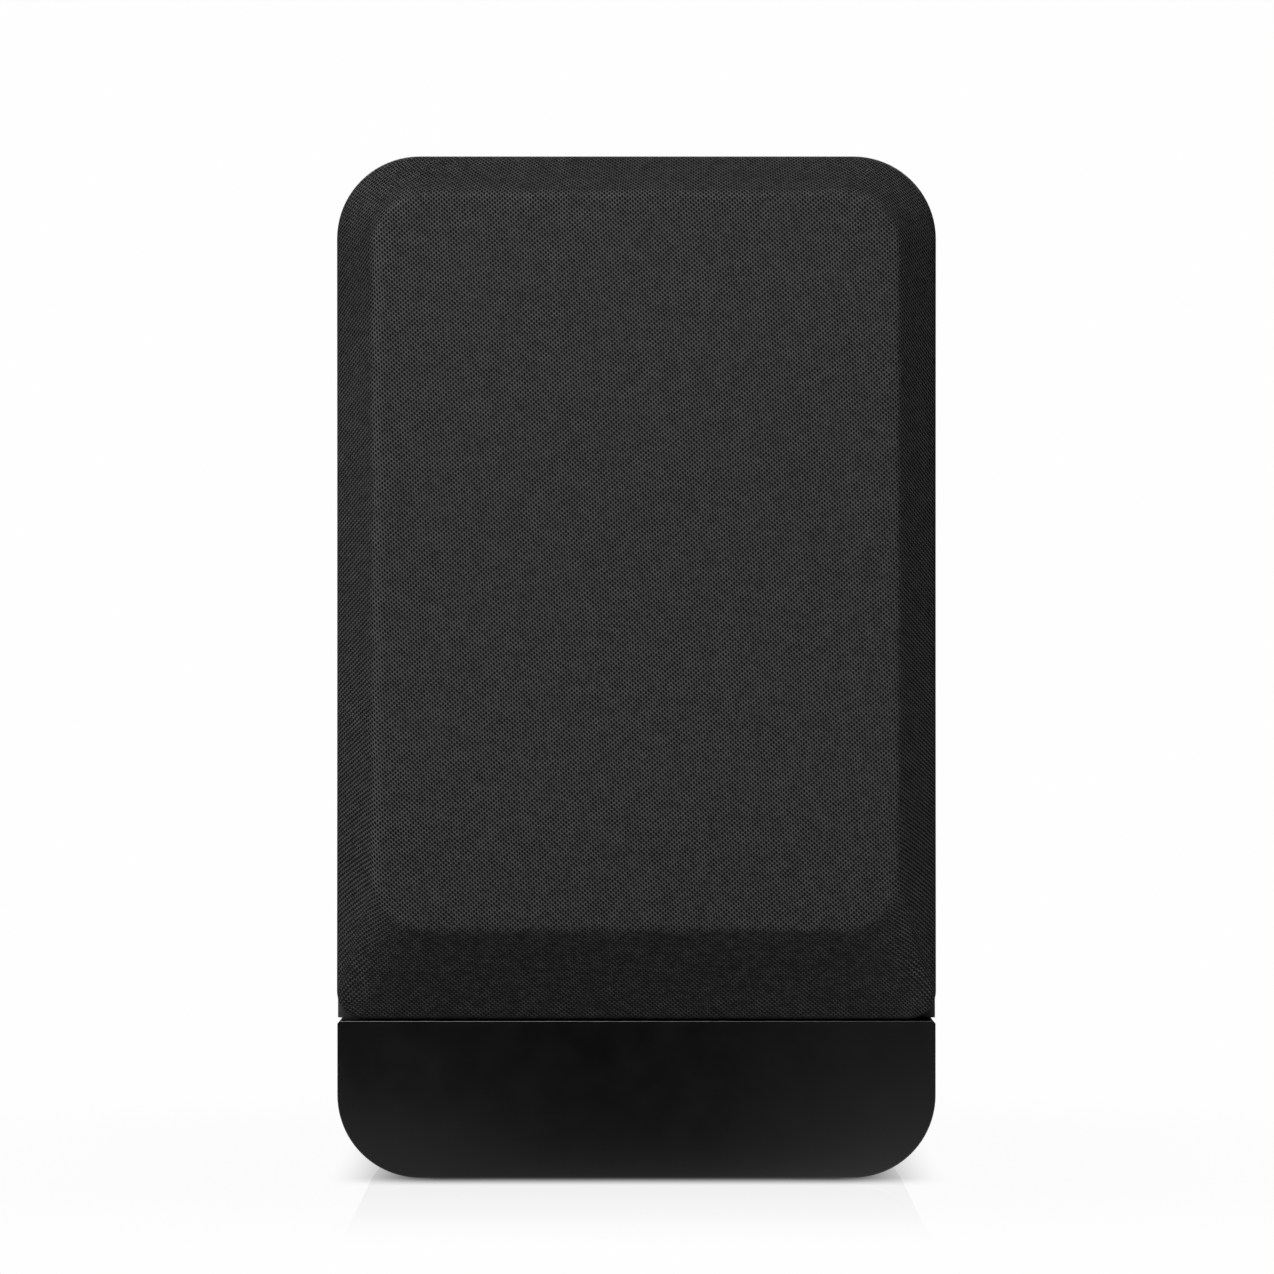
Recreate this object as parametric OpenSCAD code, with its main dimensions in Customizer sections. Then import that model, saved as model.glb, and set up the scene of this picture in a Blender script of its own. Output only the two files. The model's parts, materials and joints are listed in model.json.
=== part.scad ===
// Two-way passive bookshelf loudspeaker with a rear port and a removable fabric grille.
// Millimetres. +Z is up, the front faces -Y, and the origin is on the shelf under the middle of the body.
// Turned parts are drawn as (radius, depth) profiles, with depth growing towards the rear (+Y).

/* [Body] */
// Width of the cabinet
body_w = 225; // [222:0.5:235]
// Height from the shelf to the top of the cabinet
body_h = 385; // [384:0.5:395]
// Depth from the face of the grille to the rear panel
body_d = 245; // [244:1:270]
// Radius of the four outer corners, seen from the front
corner_r = 31; // [28:0.5:33]
// Thickness of the wrapped cabinet wall
wall = 15; // [14.5:0.1:15]
// Thickness of the front baffle
baffle_t = 18; // [17:0.5:20]
// Thickness of the rear panel
back_t = 15; // [14:0.5:16]
// Thickness of the floor of the upper cabinet
floor_t = 12; // [10:0.5:13]

/* [Base] */
// Height of the base section
base_h = 59; // [56:0.1:62]
// Shadow gap between the base and the upper cabinet
gap_h = 0.6; // [0.4:0.1:3]
// Wall of the base section
base_wall = 9; // [8:0.5:9.5]
// How much narrower the base is than the cabinet, on each side
base_inset = 0.2; // [0:0.1:1]
// How far the decoupling gasket stays inside the cabinet at the sides and back
gasket_inset = 1.5; // [0.5:0.1:3]
// Height of the feet under the base
foot_h = 1.5; // [1:0.1:4]
// Radius of a foot
foot_r = 9; // [6:0.5:12]

/* [Grille] */
// Thickness of the grille at its raised centre
grille_t = 24; // [23:0.5:28]
// How far the raised centre stands in front of the grille's edge
bevel_h = 14; // [10:0.5:15]
// Width of the bevel at the top and sides
bevel_w = 14.9; // [10:0.1:16]
// Width of the bevel at the bottom
bevel_bottom = 34.1; // [26:0.1:36]
// Corner radius at the bottom of the grille
grille_foot_r = 10.5; // [8:0.5:16]
// Thickness of the stretched cloth
cloth_t = 0.5; // [0.4:0.1:0.8]
// Radius of a holding magnet
magnet_r = 5; // [4:0.5:5]

/* [Drivers] */
// Height of the woofer's axis above the shelf
woofer_z = 182; // [181:0.5:184]
// Radius of the woofer's mounting flange
woofer_r = 84; // [83.5:0.1:84.2]
// Height of the tweeter's axis above the shelf
tweeter_z = 316; // [315:0.5:318]
// Radius of the tweeter's faceplate
tweeter_r = 46; // [45.5:0.1:46.5]

/* [Rear] */
// Height of the port's axis above the shelf
port_z = 315; // [300:1:320]
// Inner radius of the port tube
port_r = 25; // [22:0.5:26]
// Spacing of the two wall bracket inserts
insert_spacing = 60; // [50:5:80]
// Thread minor radius of a wall bracket insert (M6)
insert_bore_r = 2.5; // [2:0.1:3]
// Distance between the two binding posts
post_pitch = 19; // [19:0.5:24]
// Radius of the socket in a binding post, for a 4 mm plug
socket_r = 2; // [2:0.01:2.05]

/* [Hidden] */
$fn = 96;

// Planes of the body
front_y = -body_d / 2;
rear_y = body_d / 2;
cab_y = front_y + grille_t;             // front plane of cabinet and baffle
edge_y = front_y + bevel_h;             // front plane of the grille's edge and of the base
base_z = foot_h;
base_top = foot_h + base_h;
cab_z = base_top + gap_h;
base_w = body_w - 2 * base_inset;
inner_w = body_w - 2 * wall;
base_inner_w = base_w - 2 * base_wall;
fit = 0.1;                              // glue line beside a curved wall
term_z = foot_h + 29.15;             // height of the binding posts
port_len = 120;
magnet_x = 91;
magnet_zs = [84, 215, 345];
woofer_screw_r = woofer_r - 4.5;
tweeter_screw_r = 40.8;
foot_places = [[-68, -78], [68, -78], [-68, 98], [68, 98]];
bolt_places = [[-85, -68], [85, -68], [-85, 92], [85, 92]];
board_holes = [[-70, -55], [70, -55], [-70, 55], [70, 55]];
wire_hole = [68, 10];
window_x = 84;                          // half width of the two grille windows
windows = [[108, 259], [269, 358]];     // bottom and top of each window
ref = [0.36, 0.48, 0.8];                // no lead runs along this direction

// Routes of the leads, from the crossover board outwards
lead_r = 1.1;
input_route = [[9.5, 83.9, 0], [9.5, 77, 0], [10.5, 69, -4], [11.5, 62, -9], [12, 56, -11.6], [12, 50, -11.9]];
woofer_route_a = [[60, -6, 18.8], [60.5, -2, 19.8], [63, 4, 25], [66.3, 8.3, 36], [66.3, 8.3, 60], [66.3, 8.3, 82], [60, 0, 93], [38, -24, 98], [16, -44, 100], [6, -50, 106], [5, -50.5, 112], [5, -50.5, 119.2]];
woofer_route_b = [[66, -6, 18.8], [66.5, -2, 19.8], [68.5, 4, 25], [69.7, 8.3, 36], [69.7, 8.3, 60], [69.7, 8.3, 76], [64, -4, 84], [34, -28, 88], [8, -46, 92], [-4, -50, 101], [-5, -50.5, 110], [-5, -50.5, 119.2]];
tweeter_route_a = [[60, 26, 18.8], [60.5, 22, 19.8], [63, 16, 25], [66.3, 11.7, 36], [66.3, 11.7, 60], [66.3, 11.7, 84], [67, 6, 130], [68, -6, 190], [64, -20, 245], [40, -34, 288], [14, -41, 306], [6, -49, 312], [6, -58.3, 314]];
tweeter_route_b = [[66, 26, 18.8], [66.5, 22, 19.8], [68.5, 16, 25], [69.7, 11.7, 36], [69.7, 11.7, 60], [69.7, 11.7, 84], [71.5, 10, 130], [72.5, -1, 190], [68, -14, 248], [36, -28, 300], [4, -36, 318], [-6, -47, 320], [-6, -58.3, 320]];

// ---------- shared shapes ----------

// Extrudes an (x, z) outline between two depths.
module along_y(y0, y1) {
    translate([0, y1, 0]) rotate([90, 0, 0]) linear_extrude(y1 - y0) children();
}

// Puts a turned part on an axis through (x, z), with its depth measured from y.
module turned(x, z, y = 0) {
    translate([x, y, z]) rotate([-90, 0, 0]) children();
}

// An upright rounded outline with its own radius at the top and at the bottom.
module outline(w, z0, z1, rt, rb) {
    intersection() {
        translate([-w / 2, z0]) square([w, z1 - z0]);
        union() {
            translate([-w / 2, z0 + rb]) square([w, z1 - z0 - rt - rb]);
            if (rt > 0) {
                translate([-w / 2 + rt, z0 + rb]) square([w - 2 * rt, z1 - z0 - rb]);
                for (s = [-1, 1]) translate([s * (w / 2 - rt), z1 - rt]) circle(rt);
            }
            if (rb > 0) {
                translate([-w / 2 + rb, z0]) square([w - 2 * rb, z1 - z0 - rt]);
                for (s = [-1, 1]) translate([s * (w / 2 - rb), z0 + rb]) circle(rb);
            }
        }
    }
}

module ring(r0, r1, a0, a1) {
    difference() {
        translate([0, 0, a0]) cylinder(h = a1 - a0, r = r1);
        translate([0, 0, a0 - 1]) cylinder(h = a1 - a0 + 2, r = r0);
    }
}

function arc(cx, cy, r, from, to, n) =
    [for (i = [0:n]) let (t = from + (to - from) * i / n) [cx + r * cos(t), cy + r * sin(t)]];

function reversed(p) = [for (i = [len(p) - 1:-1:0]) p[i]];

// A thin dome with its rim at depth a0, bulging forwards by h.
function dome(rb, a0, h, t, n) =
    let (R = (rb * rb + h * h) / (2 * h), ac = a0 - h + R,
         f0 = asin(rb / R), f1 = acos((ac - a0) / (R - t)))
    concat([for (i = [0:n]) [R * sin(f0 * i / n), ac - R * cos(f0 * i / n)]],
           [for (i = [n:-1:0]) [(R - t) * sin(f1 * i / n), ac - (R - t) * cos(f1 * i / n)]]);

// A half roll from r0 to r1 with flat lips outside it, all of thickness t, lips lying at depth a.
function half_roll(lip0, r0, r1, lip1, a, t, n) =
    let (c = (r0 + r1) / 2, R = (r1 - r0) / 2, s = asin(t / R))
    concat([[lip1, a - t]],
           [for (p = arc(c, a, R, -s, -180 + s, n)) p],
           [[lip0, a - t], [lip0, a]],
           [for (p = arc(c, a, R - t, -180, 0, n)) p],
           [[lip1, a]]);

function unit(v) = v / norm(v);
function tangent(p, i) =
    i == 0 ? unit(p[1] - p[0]) :
    i == len(p) - 1 ? unit(p[i] - p[i - 1]) :
    unit(unit(p[i + 1] - p[i]) + unit(p[i] - p[i - 1]));

// A round lead swept along a route.
module lead(path, r, n = 8) {
    last = len(path) - 1;
    points = [for (i = [0:last])
        let (t = tangent(path, i), u = unit(cross(t, ref)), v = cross(t, u))
        for (k = [0:n - 1]) path[i] + r * (cos(360 * k / n) * u + sin(360 * k / n) * v)];
    sides = [for (i = [0:last - 1]) for (k = [0:n - 1])
        let (a = i * n + k, b = i * n + (k + 1) % n) each [[a, b, b + n], [a, b + n, a + n]]];
    caps = [for (k = [1:n - 2]) each [[0, k + 1, k], [last * n, last * n + k, last * n + k + 1]]];
    polyhedron(points = points, faces = [for (f = concat(sides, caps)) reversed(f)]);
}

// A cross-head screw with its head's seat at depth 0 and its shank running rearwards.
module screw(head_r, head_h, shank_r, shank_l) {
    difference() {
        translate([0, 0, -head_h]) cylinder(h = head_h, r = head_r);
        for (a = [0, 90]) rotate([0, 0, a])
            translate([-head_r * 0.6, -head_r * 0.13, -head_h - 0.1]) cube([head_r * 1.2, head_r * 0.26, head_h * 0.6 + 0.1]);
    }
    cylinder(h = shank_l, r = shank_r);
}

module around(n, r, start = 0) {
    for (i = [0:n - 1]) rotate([0, 0, start + 360 * i / n]) translate([r, 0, 0]) children();
}

// ---------- upper cabinet ----------

module cabinet_shell() {
    color([0.045, 0.045, 0.047])
    along_y(cab_y, rear_y) difference() {
        outline(body_w, cab_z, body_h, corner_r, 0);
        outline(inner_w, cab_z - 1, body_h - wall, corner_r - wall, 0);
    }
}

module inner_board(y0, y1) {
    along_y(y0, y1) outline(inner_w - 2 * fit, cab_z, body_h - wall - fit, corner_r - wall, 0);
}

module front_baffle() {
    color([0.05, 0.05, 0.05])
    difference() {
        inner_board(cab_y, cab_y + baffle_t);
        turned(0, woofer_z, cab_y) {
            translate([0, 0, -1]) cylinder(h = 7, r = woofer_r + 0.5);
            cylinder(h = baffle_t + 1, r = woofer_r - 11);
            around(6, woofer_screw_r, 30) cylinder(h = 16, r = 1.8);
        }
        turned(0, tweeter_z, cab_y) {
            translate([0, 0, -1]) cylinder(h = 6, r = tweeter_r + 0.5);
            cylinder(h = baffle_t + 1, r = tweeter_r - 10);
            around(4, tweeter_screw_r, 45) cylinder(h = 14, r = 1.6);
        }
        for (s = [-1, 1]) for (z = magnet_zs)
            turned(s * magnet_x, z, cab_y) translate([0, 0, -1]) cylinder(h = 3, r = 5.55);
    }
}

module rear_panel() {
    color([0.045, 0.045, 0.047])
    difference() {
        inner_board(rear_y - back_t, rear_y);
        turned(0, port_z, rear_y) {
            translate([0, 0, -3]) cylinder(h = 4, r = port_r + 16.2);
            translate([0, 0, -back_t - 1]) cylinder(h = back_t + 2, r = port_r + 10);
        }
        for (s = [-1, 1])
            turned(0, 200 + s * insert_spacing / 2, rear_y) translate([0, 0, -13]) cylinder(h = 14, r = 4.55);
    }
}

module cabinet_floor() {
    color([0.62, 0.5, 0.36])
    difference() {
        translate([-inner_w / 2 + fit, cab_y + baffle_t, cab_z])
            cube([inner_w - 2 * fit, rear_y - back_t - cab_y - baffle_t, floor_t]);
        for (p = bolt_places) translate([p[0], p[1], cab_z - 1]) cylinder(h = floor_t + 2, r = 2.55);
        translate([wire_hole[0], wire_hole[1], cab_z - 1]) cylinder(h = floor_t + 2, r = 7);
    }
}

module damping_foam() {
    color([0.16, 0.16, 0.17]) {
        for (s = [-1, 1]) translate([s * (inner_w / 2 - 7.7) - 7.5, -60, 90]) cube([15, 140, 250]);
        translate([-75, rear_y - back_t - 18.1, 95]) cube([150, 18, 172]);
        translate([-60, -50, body_h - wall - 16.1]) cube([120, 130, 16]);
    }
}

// ---------- base section ----------

module base_outline() { outline(base_w, base_z, base_top, 0, corner_r); }

module base_shell() {
    color([0.03, 0.03, 0.032])
    difference() {
        along_y(cab_y, rear_y) difference() {
            base_outline();
            outline(base_inner_w, base_z + base_wall, base_top + 1, 0, corner_r - base_wall);
        }
        for (p = foot_places) translate([p[0], p[1], base_z - 1]) cylinder(h = 2, r = foot_r + 0.2);
        for (p = board_holes) translate([p[0], p[1], base_z + 4]) cylinder(h = 20, r = 1.45);
    }
}

module base_lid() {
    color([0.03, 0.03, 0.032])
    difference() {
        translate([-base_inner_w / 2 + fit, cab_y, base_top - base_wall])
            cube([base_inner_w - 2 * fit, rear_y - cab_y, base_wall]);
        for (p = bolt_places) translate([p[0], p[1], base_top - 20]) cylinder(h = 30, r = 2.7);
        translate([wire_hole[0], wire_hole[1], base_top - 20]) cylinder(h = 30, r = 7);
    }
}

// The lacquered front of the base, with a fine chamfer round its face.
module base_front_panel() {
    chamfer = 0.45;
    color([0.02, 0.02, 0.021])
    hull() {
        along_y(edge_y + chamfer, cab_y) outline(base_w, base_z, base_top, 0, corner_r);
        along_y(edge_y, cab_y)
            outline(base_w - 2 * chamfer, base_z + chamfer, base_top - chamfer, 0, corner_r - chamfer);
    }
}

module base_rear_panel() {
    color([0.045, 0.045, 0.047])
    difference() {
        along_y(rear_y - 12, rear_y)
            outline(base_inner_w - 2 * fit, base_z + base_wall + fit, base_top - base_wall - fit, 0, corner_r - base_wall);
        translate([-46.2, rear_y - 20, term_z - 16.2]) cube([92.4, 30, 32.4]);
        along_y(rear_y - 3, rear_y + 1) outline(104.4, term_z - 19.2, term_z + 19.2, 4.2, 4.2);
        for (x = [-1, 1]) for (z = [-1, 1])
            turned(x * 48.9, term_z + z * 12, rear_y - 12.5) cylinder(h = 10, r = 1.25);
    }
}

// It ends level with the front of the cabinet, so the shadow gap stays open below the grille.
module decoupling_gasket() {
    color([0.16, 0.16, 0.16])
    difference() {
        translate([-body_w / 2 + gasket_inset, cab_y, base_top])
            cube([body_w - 2 * gasket_inset, rear_y - cab_y - gasket_inset, gap_h]);
        for (p = bolt_places) translate([p[0], p[1], base_top - 5]) cylinder(h = 20, r = 2.8);
        translate([wire_hole[0], wire_hole[1], base_top - 5]) cylinder(h = 20, r = 7);
    }
}

module rubber_feet() {
    color([0.04, 0.04, 0.04])
    for (p = foot_places) translate([p[0], p[1], 0]) {
        cylinder(h = foot_h + 1, r = foot_r);
    }
}

module base_bolts() {
    color([0.35, 0.35, 0.36])
    for (p = bolt_places) translate([p[0], p[1], base_top - base_wall]) {
        cylinder(h = 19, r = 2.5);
        difference() {
            translate([0, 0, -5]) cylinder(h = 5, r = 4.3);
            translate([0, 0, -6]) cylinder(h = 4, r = 2.3, $fn = 6);
        }
    }
}

// ---------- rear of the upper cabinet ----------

module port_tube() {
    y1 = rear_y;
    y0 = rear_y - port_len;
    wall_r = port_r + 2.5;
    color([0.05, 0.05, 0.05])
    turned(0, port_z) rotate_extrude() polygon(concat(
        arc(port_r + 12, y1 - 12, 12, 180, 90, 12),
        [[port_r + 16, y1], [port_r + 16, y1 - 3]],
        [for (p = arc(port_r + 12, y1 - 12, 9.5, 108.6, 180, 10)) p],
        arc(port_r + 8, y0 + 8, 5.5, 180, 270, 8),
        arc(port_r + 8, y0 + 8, 8, 270, 180, 8)));
}

module bracket_inserts() {
    color([0.72, 0.57, 0.28])
    for (s = [-1, 1]) turned(0, 200 + s * insert_spacing / 2, rear_y)
        ring(insert_bore_r, 4.5, -13, 0);
}

// ---------- woofer ----------

module at_woofer() { turned(0, woofer_z, cab_y) children(); }

module woofer_basket() {
    f = woofer_r;
    color([0.07, 0.07, 0.075])
    at_woofer() difference() {
        rotate_extrude() polygon([[75.4, 0], [f, 0], [f, 5], [72.4, 5], [72.4, 8], [52.6, 40], [52.6, 54],
            [18.5, 54], [18.5, 51], [49.6, 51], [49.6, 42], [45.5, 42], [45.5, 40], [49.9, 40],
            [69.4, 8.5], [69.4, 2.4], [75.4, 2.4]]);
        for (i = [0:5]) rotate([0, 0, 60 * i]) translate([44, -21, 12]) cube([40, 42, 24]);
        around(6, woofer_screw_r, 30) {
            translate([0, 0, -1]) cylinder(h = 3.6, r = 4.1);
            cylinder(h = 8, r = 2.1);
        }
    }
}

module woofer_gasket() {
    color([0.1, 0.1, 0.1])
    at_woofer() difference() {
        ring(woofer_r - 10.5, woofer_r - 0.2, 5, 6);
        around(6, woofer_screw_r, 30) translate([0, 0, 4]) cylinder(h = 4, r = 2.1);
    }
}

module woofer_surround() {
    color([0.05, 0.05, 0.05])
    at_woofer() rotate_extrude() polygon(half_roll(53.5, 57, 69, 75.2, 2.35, 0.9, 18));
}

cone_front = [[57.3, 2.4], [53.5, 2.4], [48, 7.6], [42, 12.8], [36, 17.6], [30, 22.1], [24, 26.3], [16.3, 31.2]];
cone_back = [[57.3, 3.2], [53.8, 3.2], [48.6, 8.2], [42.6, 13.4], [36.6, 18.3], [30.6, 22.8], [24.6, 27.1], [16.3, 32.4]];

module woofer_cone() {
    color([0.085, 0.085, 0.09])
    at_woofer() rotate_extrude() polygon(concat(cone_front, reversed(cone_back)));
}

module woofer_dust_cap() {
    color([0.06, 0.06, 0.062])
    at_woofer() rotate_extrude() polygon(dome(20, 28.3, 8, 0.6, 16));
}

module woofer_voice_coil() {
    color([0.72, 0.4, 0.22])
    at_woofer() rotate_extrude() polygon([[15.95, 29.5], [16.2, 29.5], [16.2, 51], [17, 51], [17, 63], [15.95, 63]]);
}

module woofer_spider() {
    waves = [for (i = [0:12]) [20 + 2 * i, i % 2 == 0 ? -1.3 : 1.3]];
    a = 39.68;
    color([0.65, 0.5, 0.2])
    at_woofer() rotate_extrude() polygon(concat(
        [[16.3, a - 0.27], [19, a - 0.27]], [for (w = waves) [w[0], a - 0.27 + w[1]]], [[45.6, a - 0.27], [49.4, a - 0.27]],
        [[49.4, a + 0.27], [45.6, a + 0.27]], [for (w = reversed(waves)) [w[0], a + 0.27 + w[1]]], [[19, a + 0.27], [16.3, a + 0.27]]));
}

module woofer_top_plate() { color([0.6, 0.6, 0.6]) at_woofer() ring(17.6, 46, 54, 60); }

module woofer_magnet() { color([0.12, 0.12, 0.12]) at_woofer() ring(25, 47, 60, 78); }

module woofer_yoke() {
    color([0.6, 0.6, 0.6])
    at_woofer() rotate_extrude() polygon([[5, 53], [15.3, 53], [15.3, 78], [46, 78], [46, 83], [45, 84], [5, 84]]);
}

module woofer_screws() {
    color([0.1, 0.1, 0.1])
    at_woofer() around(6, woofer_screw_r, 30) translate([0, 0, 2.6]) screw(3.7, 2.3, 1.75, 12);
}

module woofer_tag_strip() {
    color([0.45, 0.3, 0.12])
    at_woofer() {
        translate([-9, 52.7, 42]) cube([18, 2, 10]);
        for (s = [-1, 1]) translate([s * 5 - 1.5, 54.7, 47.6]) cube([3, 8, 0.8]);
    }
}

// ---------- tweeter ----------

module at_tweeter() { turned(0, tweeter_z, cab_y) children(); }

module tweeter_faceplate() {
    color([0.06, 0.06, 0.062])
    at_tweeter() difference() {
        rotate_extrude() polygon([[32, 0], [tweeter_r, 0], [tweeter_r, 4], [35.5, 4], [35.5, 10], [19, 10], [19, 9.3],
            [16.2, 9.3], [16.2, 7.5], [17.5, 6.2], [20, 4.5], [23, 2.9], [26, 1.6], [29, 0.6]]);
        around(4, tweeter_screw_r, 45) {
            translate([0, 0, -1]) cylinder(h = 3.2, r = 3.3);
            cylinder(h = 8, r = 1.75);
        }
    }
}

module tweeter_gasket() {
    color([0.1, 0.1, 0.1])
    at_tweeter() difference() {
        ring(tweeter_r - 9, tweeter_r - 0.4, 4, 5);
        around(4, tweeter_screw_r, 45) translate([0, 0, 3]) cylinder(h = 4, r = 1.75);
    }
}

module tweeter_dome() {
    color([0.1, 0.1, 0.11])
    at_tweeter() rotate_extrude() polygon(dome(12.15, 9.5, 5, 0.35, 14));
}

module tweeter_surround() {
    color([0.06, 0.06, 0.06])
    at_tweeter() rotate_extrude() polygon(half_roll(12.25, 13, 15.8, 18.7, 9.85, 0.3, 12));
}

module tweeter_voice_coil() {
    color([0.72, 0.4, 0.22])
    at_tweeter() rotate_extrude() polygon([[12.25, 9.95], [12.5, 9.95], [12.5, 10.8], [13.1, 10.8], [13.1, 13.8], [12.25, 13.8]]);
}

module tweeter_top_plate() { color([0.6, 0.6, 0.6]) at_tweeter() ring(13.7, 30, 10, 13); }

module tweeter_magnet() { color([0.12, 0.12, 0.12]) at_tweeter() ring(18, 32, 13, 22); }

module tweeter_yoke() {
    color([0.6, 0.6, 0.6])
    at_tweeter() rotate_extrude() polygon([[3, 10.6], [11.7, 10.6], [11.7, 22], [31, 22], [31, 26], [3, 26]]);
}

module tweeter_rear_cup() {
    color([0.05, 0.05, 0.05])
    at_tweeter() rotate_extrude() polygon([[28, 26], [30, 26], [30, 39], [29, 40], [0, 40], [0, 38], [28, 38]]);
}

module tweeter_screws() {
    color([0.1, 0.1, 0.1])
    at_tweeter() around(4, tweeter_screw_r, 45) translate([0, 0, 2.2]) screw(2.9, 1.9, 1.5, 11);
}

// ---------- crossover ----------

board_z = base_z + base_wall + 5.5;
board_top = board_z + 1.6;

module crossover_board() {
    color([0.05, 0.25, 0.12])
    difference() {
        translate([-75, -60, board_z]) cube([150, 120, 1.6]);
        for (p = board_holes) translate([p[0], p[1], board_z - 1]) cylinder(h = 4, r = 1.6);
    }
}

module woofer_inductor() {
    color([0.72, 0.4, 0.2])
    translate([-46, -28, board_top]) ring(10, 22, 0.1, 24);
}

module tweeter_inductor() {
    color([0.72, 0.4, 0.2])
    translate([-46, 30, board_top]) ring(6, 14, 0.1, 13);
}

module film_capacitors() {
    color([0.75, 0.72, 0.6]) {
        turned(0, board_top + 10.1, -48) cylinder(h = 46, r = 10);
        turned(25, board_top + 8.1, -46) cylinder(h = 36, r = 8);
        turned(0, board_top + 8.1, 10) cylinder(h = 36, r = 8);
    }
}

module power_resistors() {
    color([0.85, 0.84, 0.8]) {
        translate([42, -50, board_top + 0.1]) cube([9.5, 48, 9]);
        translate([42, 8, board_top + 0.1]) cube([9.5, 40, 9]);
    }
}

module board_spacers() {
    color([0.8, 0.8, 0.78])
    for (p = board_holes) translate([p[0], p[1], 0]) ring(1.6, 3.2, base_z + base_wall, board_z);
}

module board_screws() {
    color([0.5, 0.5, 0.5])
    for (p = board_holes) translate([p[0], p[1], board_top]) rotate([180, 0, 0]) screw(2.8, 2, 1.4, 11.5);
}

// ---------- terminals ----------

module terminal_cup() {
    color([0.05, 0.05, 0.05])
    difference() {
        union() {
            along_y(rear_y - 3, rear_y) outline(104, term_z - 19, term_z + 19, 4, 4);
            translate([-46, rear_y - 24, term_z - 16]) cube([92, 22, 32]);
        }
        translate([-44, rear_y - 22, term_z - 14]) cube([88, 30, 28]);
        for (s = [-1, 1]) turned(s * post_pitch / 2, term_z, rear_y - 30) cylinder(h = 20, r = 3.1);
        for (x = [-1, 1]) for (z = [-1, 1])
            turned(x * 48.9, term_z + z * 12, rear_y - 5) {
                cylinder(h = 10, r = 1.4);
                translate([0, 0, 3.6]) cylinder(h = 5, r = 2.7);
            }
    }
}

module terminal_screws() {
    color([0.1, 0.1, 0.1])
    for (x = [-1, 1]) for (z = [-1, 1])
        translate([x * 48.9, rear_y - 1.4, term_z + z * 12]) rotate([90, 0, 0]) screw(2.4, 1.3, 1.2, 9.5);
}

floor_y = rear_y - 22;                  // bottom of the terminal recess

module each_post() { for (s = [-1, 1]) turned(s * post_pitch / 2, term_z, floor_y) children(); }

module post_studs() {
    color([0.78, 0.62, 0.3])
    each_post() difference() {
        translate([0, 0, -16.5]) cylinder(h = 34.5, r = 3);
        translate([0, 0, 2]) cylinder(h = 20, r = socket_r);
    }
}

module post_collars() { color([0.05, 0.05, 0.05]) each_post() ring(3.05, 7, 0, 5); }

module post_nuts() {
    color([0.7, 0.7, 0.7])
    each_post() difference() {
        translate([0, 0, -6.2]) cylinder(h = 4.1, r = 5.6, $fn = 6);
        translate([0, 0, -7]) cylinder(h = 8, r = 3.05);
    }
}

module washer(s) {
    color([0.78, 0.62, 0.3])
    turned(s * post_pitch / 2, term_z, floor_y) ring(3.2, 6.6, 5.3, 6.3);
}

module core(s) {
    color([0.78, 0.62, 0.3])
    turned(s * post_pitch / 2, term_z, floor_y) rotate_extrude()
        polygon([[3.06, 6.6], [5, 6.6], [5, 19.9], [2.5, 19.9], [2.5, 18.7], [3.06, 18.7]]);
}

module knob(s) {
    turned(s * post_pitch / 2, term_z, floor_y) difference() {
        rotate_extrude() polygon([[5.02, 6.6], [6.6, 6.6], [7, 7], [7, 18.8], [6.3, 19.5], [5.02, 19.5]]);
        around(12, 7.35, 15) translate([0, 0, 8.4]) cylinder(h = 20, r = 0.9);
    }
}

module positive_washer() { washer(1); }
module negative_washer() { washer(-1); }
module positive_core() { core(1); }
module negative_core() { core(-1); }
module positive_knob() { color([0.6, 0.03, 0.03]) knob(1); }
module negative_knob() { color([0.04, 0.04, 0.04]) knob(-1); }

// ---------- leads ----------

module input_leads() {
    color([0.5, 0.05, 0.05])
    for (s = [-1, 1]) lead([for (p = input_route) [s * p[0], p[1], term_z + p[2]]], lead_r);
}

module driver_leads() {
    color([0.1, 0.1, 0.1])
    for (route = [woofer_route_a, woofer_route_b, tweeter_route_a, tweeter_route_b]) lead(route, lead_r);
}

// ---------- grille ----------

// The bevelled block of the grille, shrunk by s all round and starting at the rear plane y1.
module grille_block(s, y1) {
    hull() {
        along_y(edge_y + s * 0.8, y1)
            outline(body_w - 2 * s, cab_z + s, body_h - s, corner_r - s, grille_foot_r - s, $fn = 64);
        along_y(front_y + s, edge_y + s)
            outline(body_w - 2 * (bevel_w + s), cab_z + bevel_bottom + s, body_h - bevel_w - s, 20 - s, 20 - s, $fn = 64);
    }
}

module grille_frame() {
    color([0.06, 0.06, 0.06])
    difference() {
        grille_block(cloth_t, cab_y - 0.5);
        for (w = windows) along_y(front_y - 1, cab_y + 1) outline(2 * window_x, w[0], w[1], 4, 4);
        for (s = [-1, 1]) for (z = magnet_zs)
            turned(s * magnet_x, z, cab_y - 0.5 - 3.1) cylinder(h = 5, r = magnet_r + 0.05);
    }
}

module grille_cloth() {
    color([0.045, 0.045, 0.046])
    difference() {
        grille_block(0, cab_y - 0.5);
        grille_block(cloth_t - 0.03, cab_y + 5);
    }
}

module grille_magnets() {
    color([0.7, 0.7, 0.72])
    for (s = [-1, 1]) for (z = magnet_zs)
        turned(s * magnet_x, z, cab_y - 0.5 - 3) cylinder(h = 3, r = magnet_r);
}

module magnet_keepers() {
    color([0.6, 0.6, 0.6])
    for (s = [-1, 1]) for (z = magnet_zs) turned(s * magnet_x, z, cab_y) cylinder(h = 2, r = 5.5);
}

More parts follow.
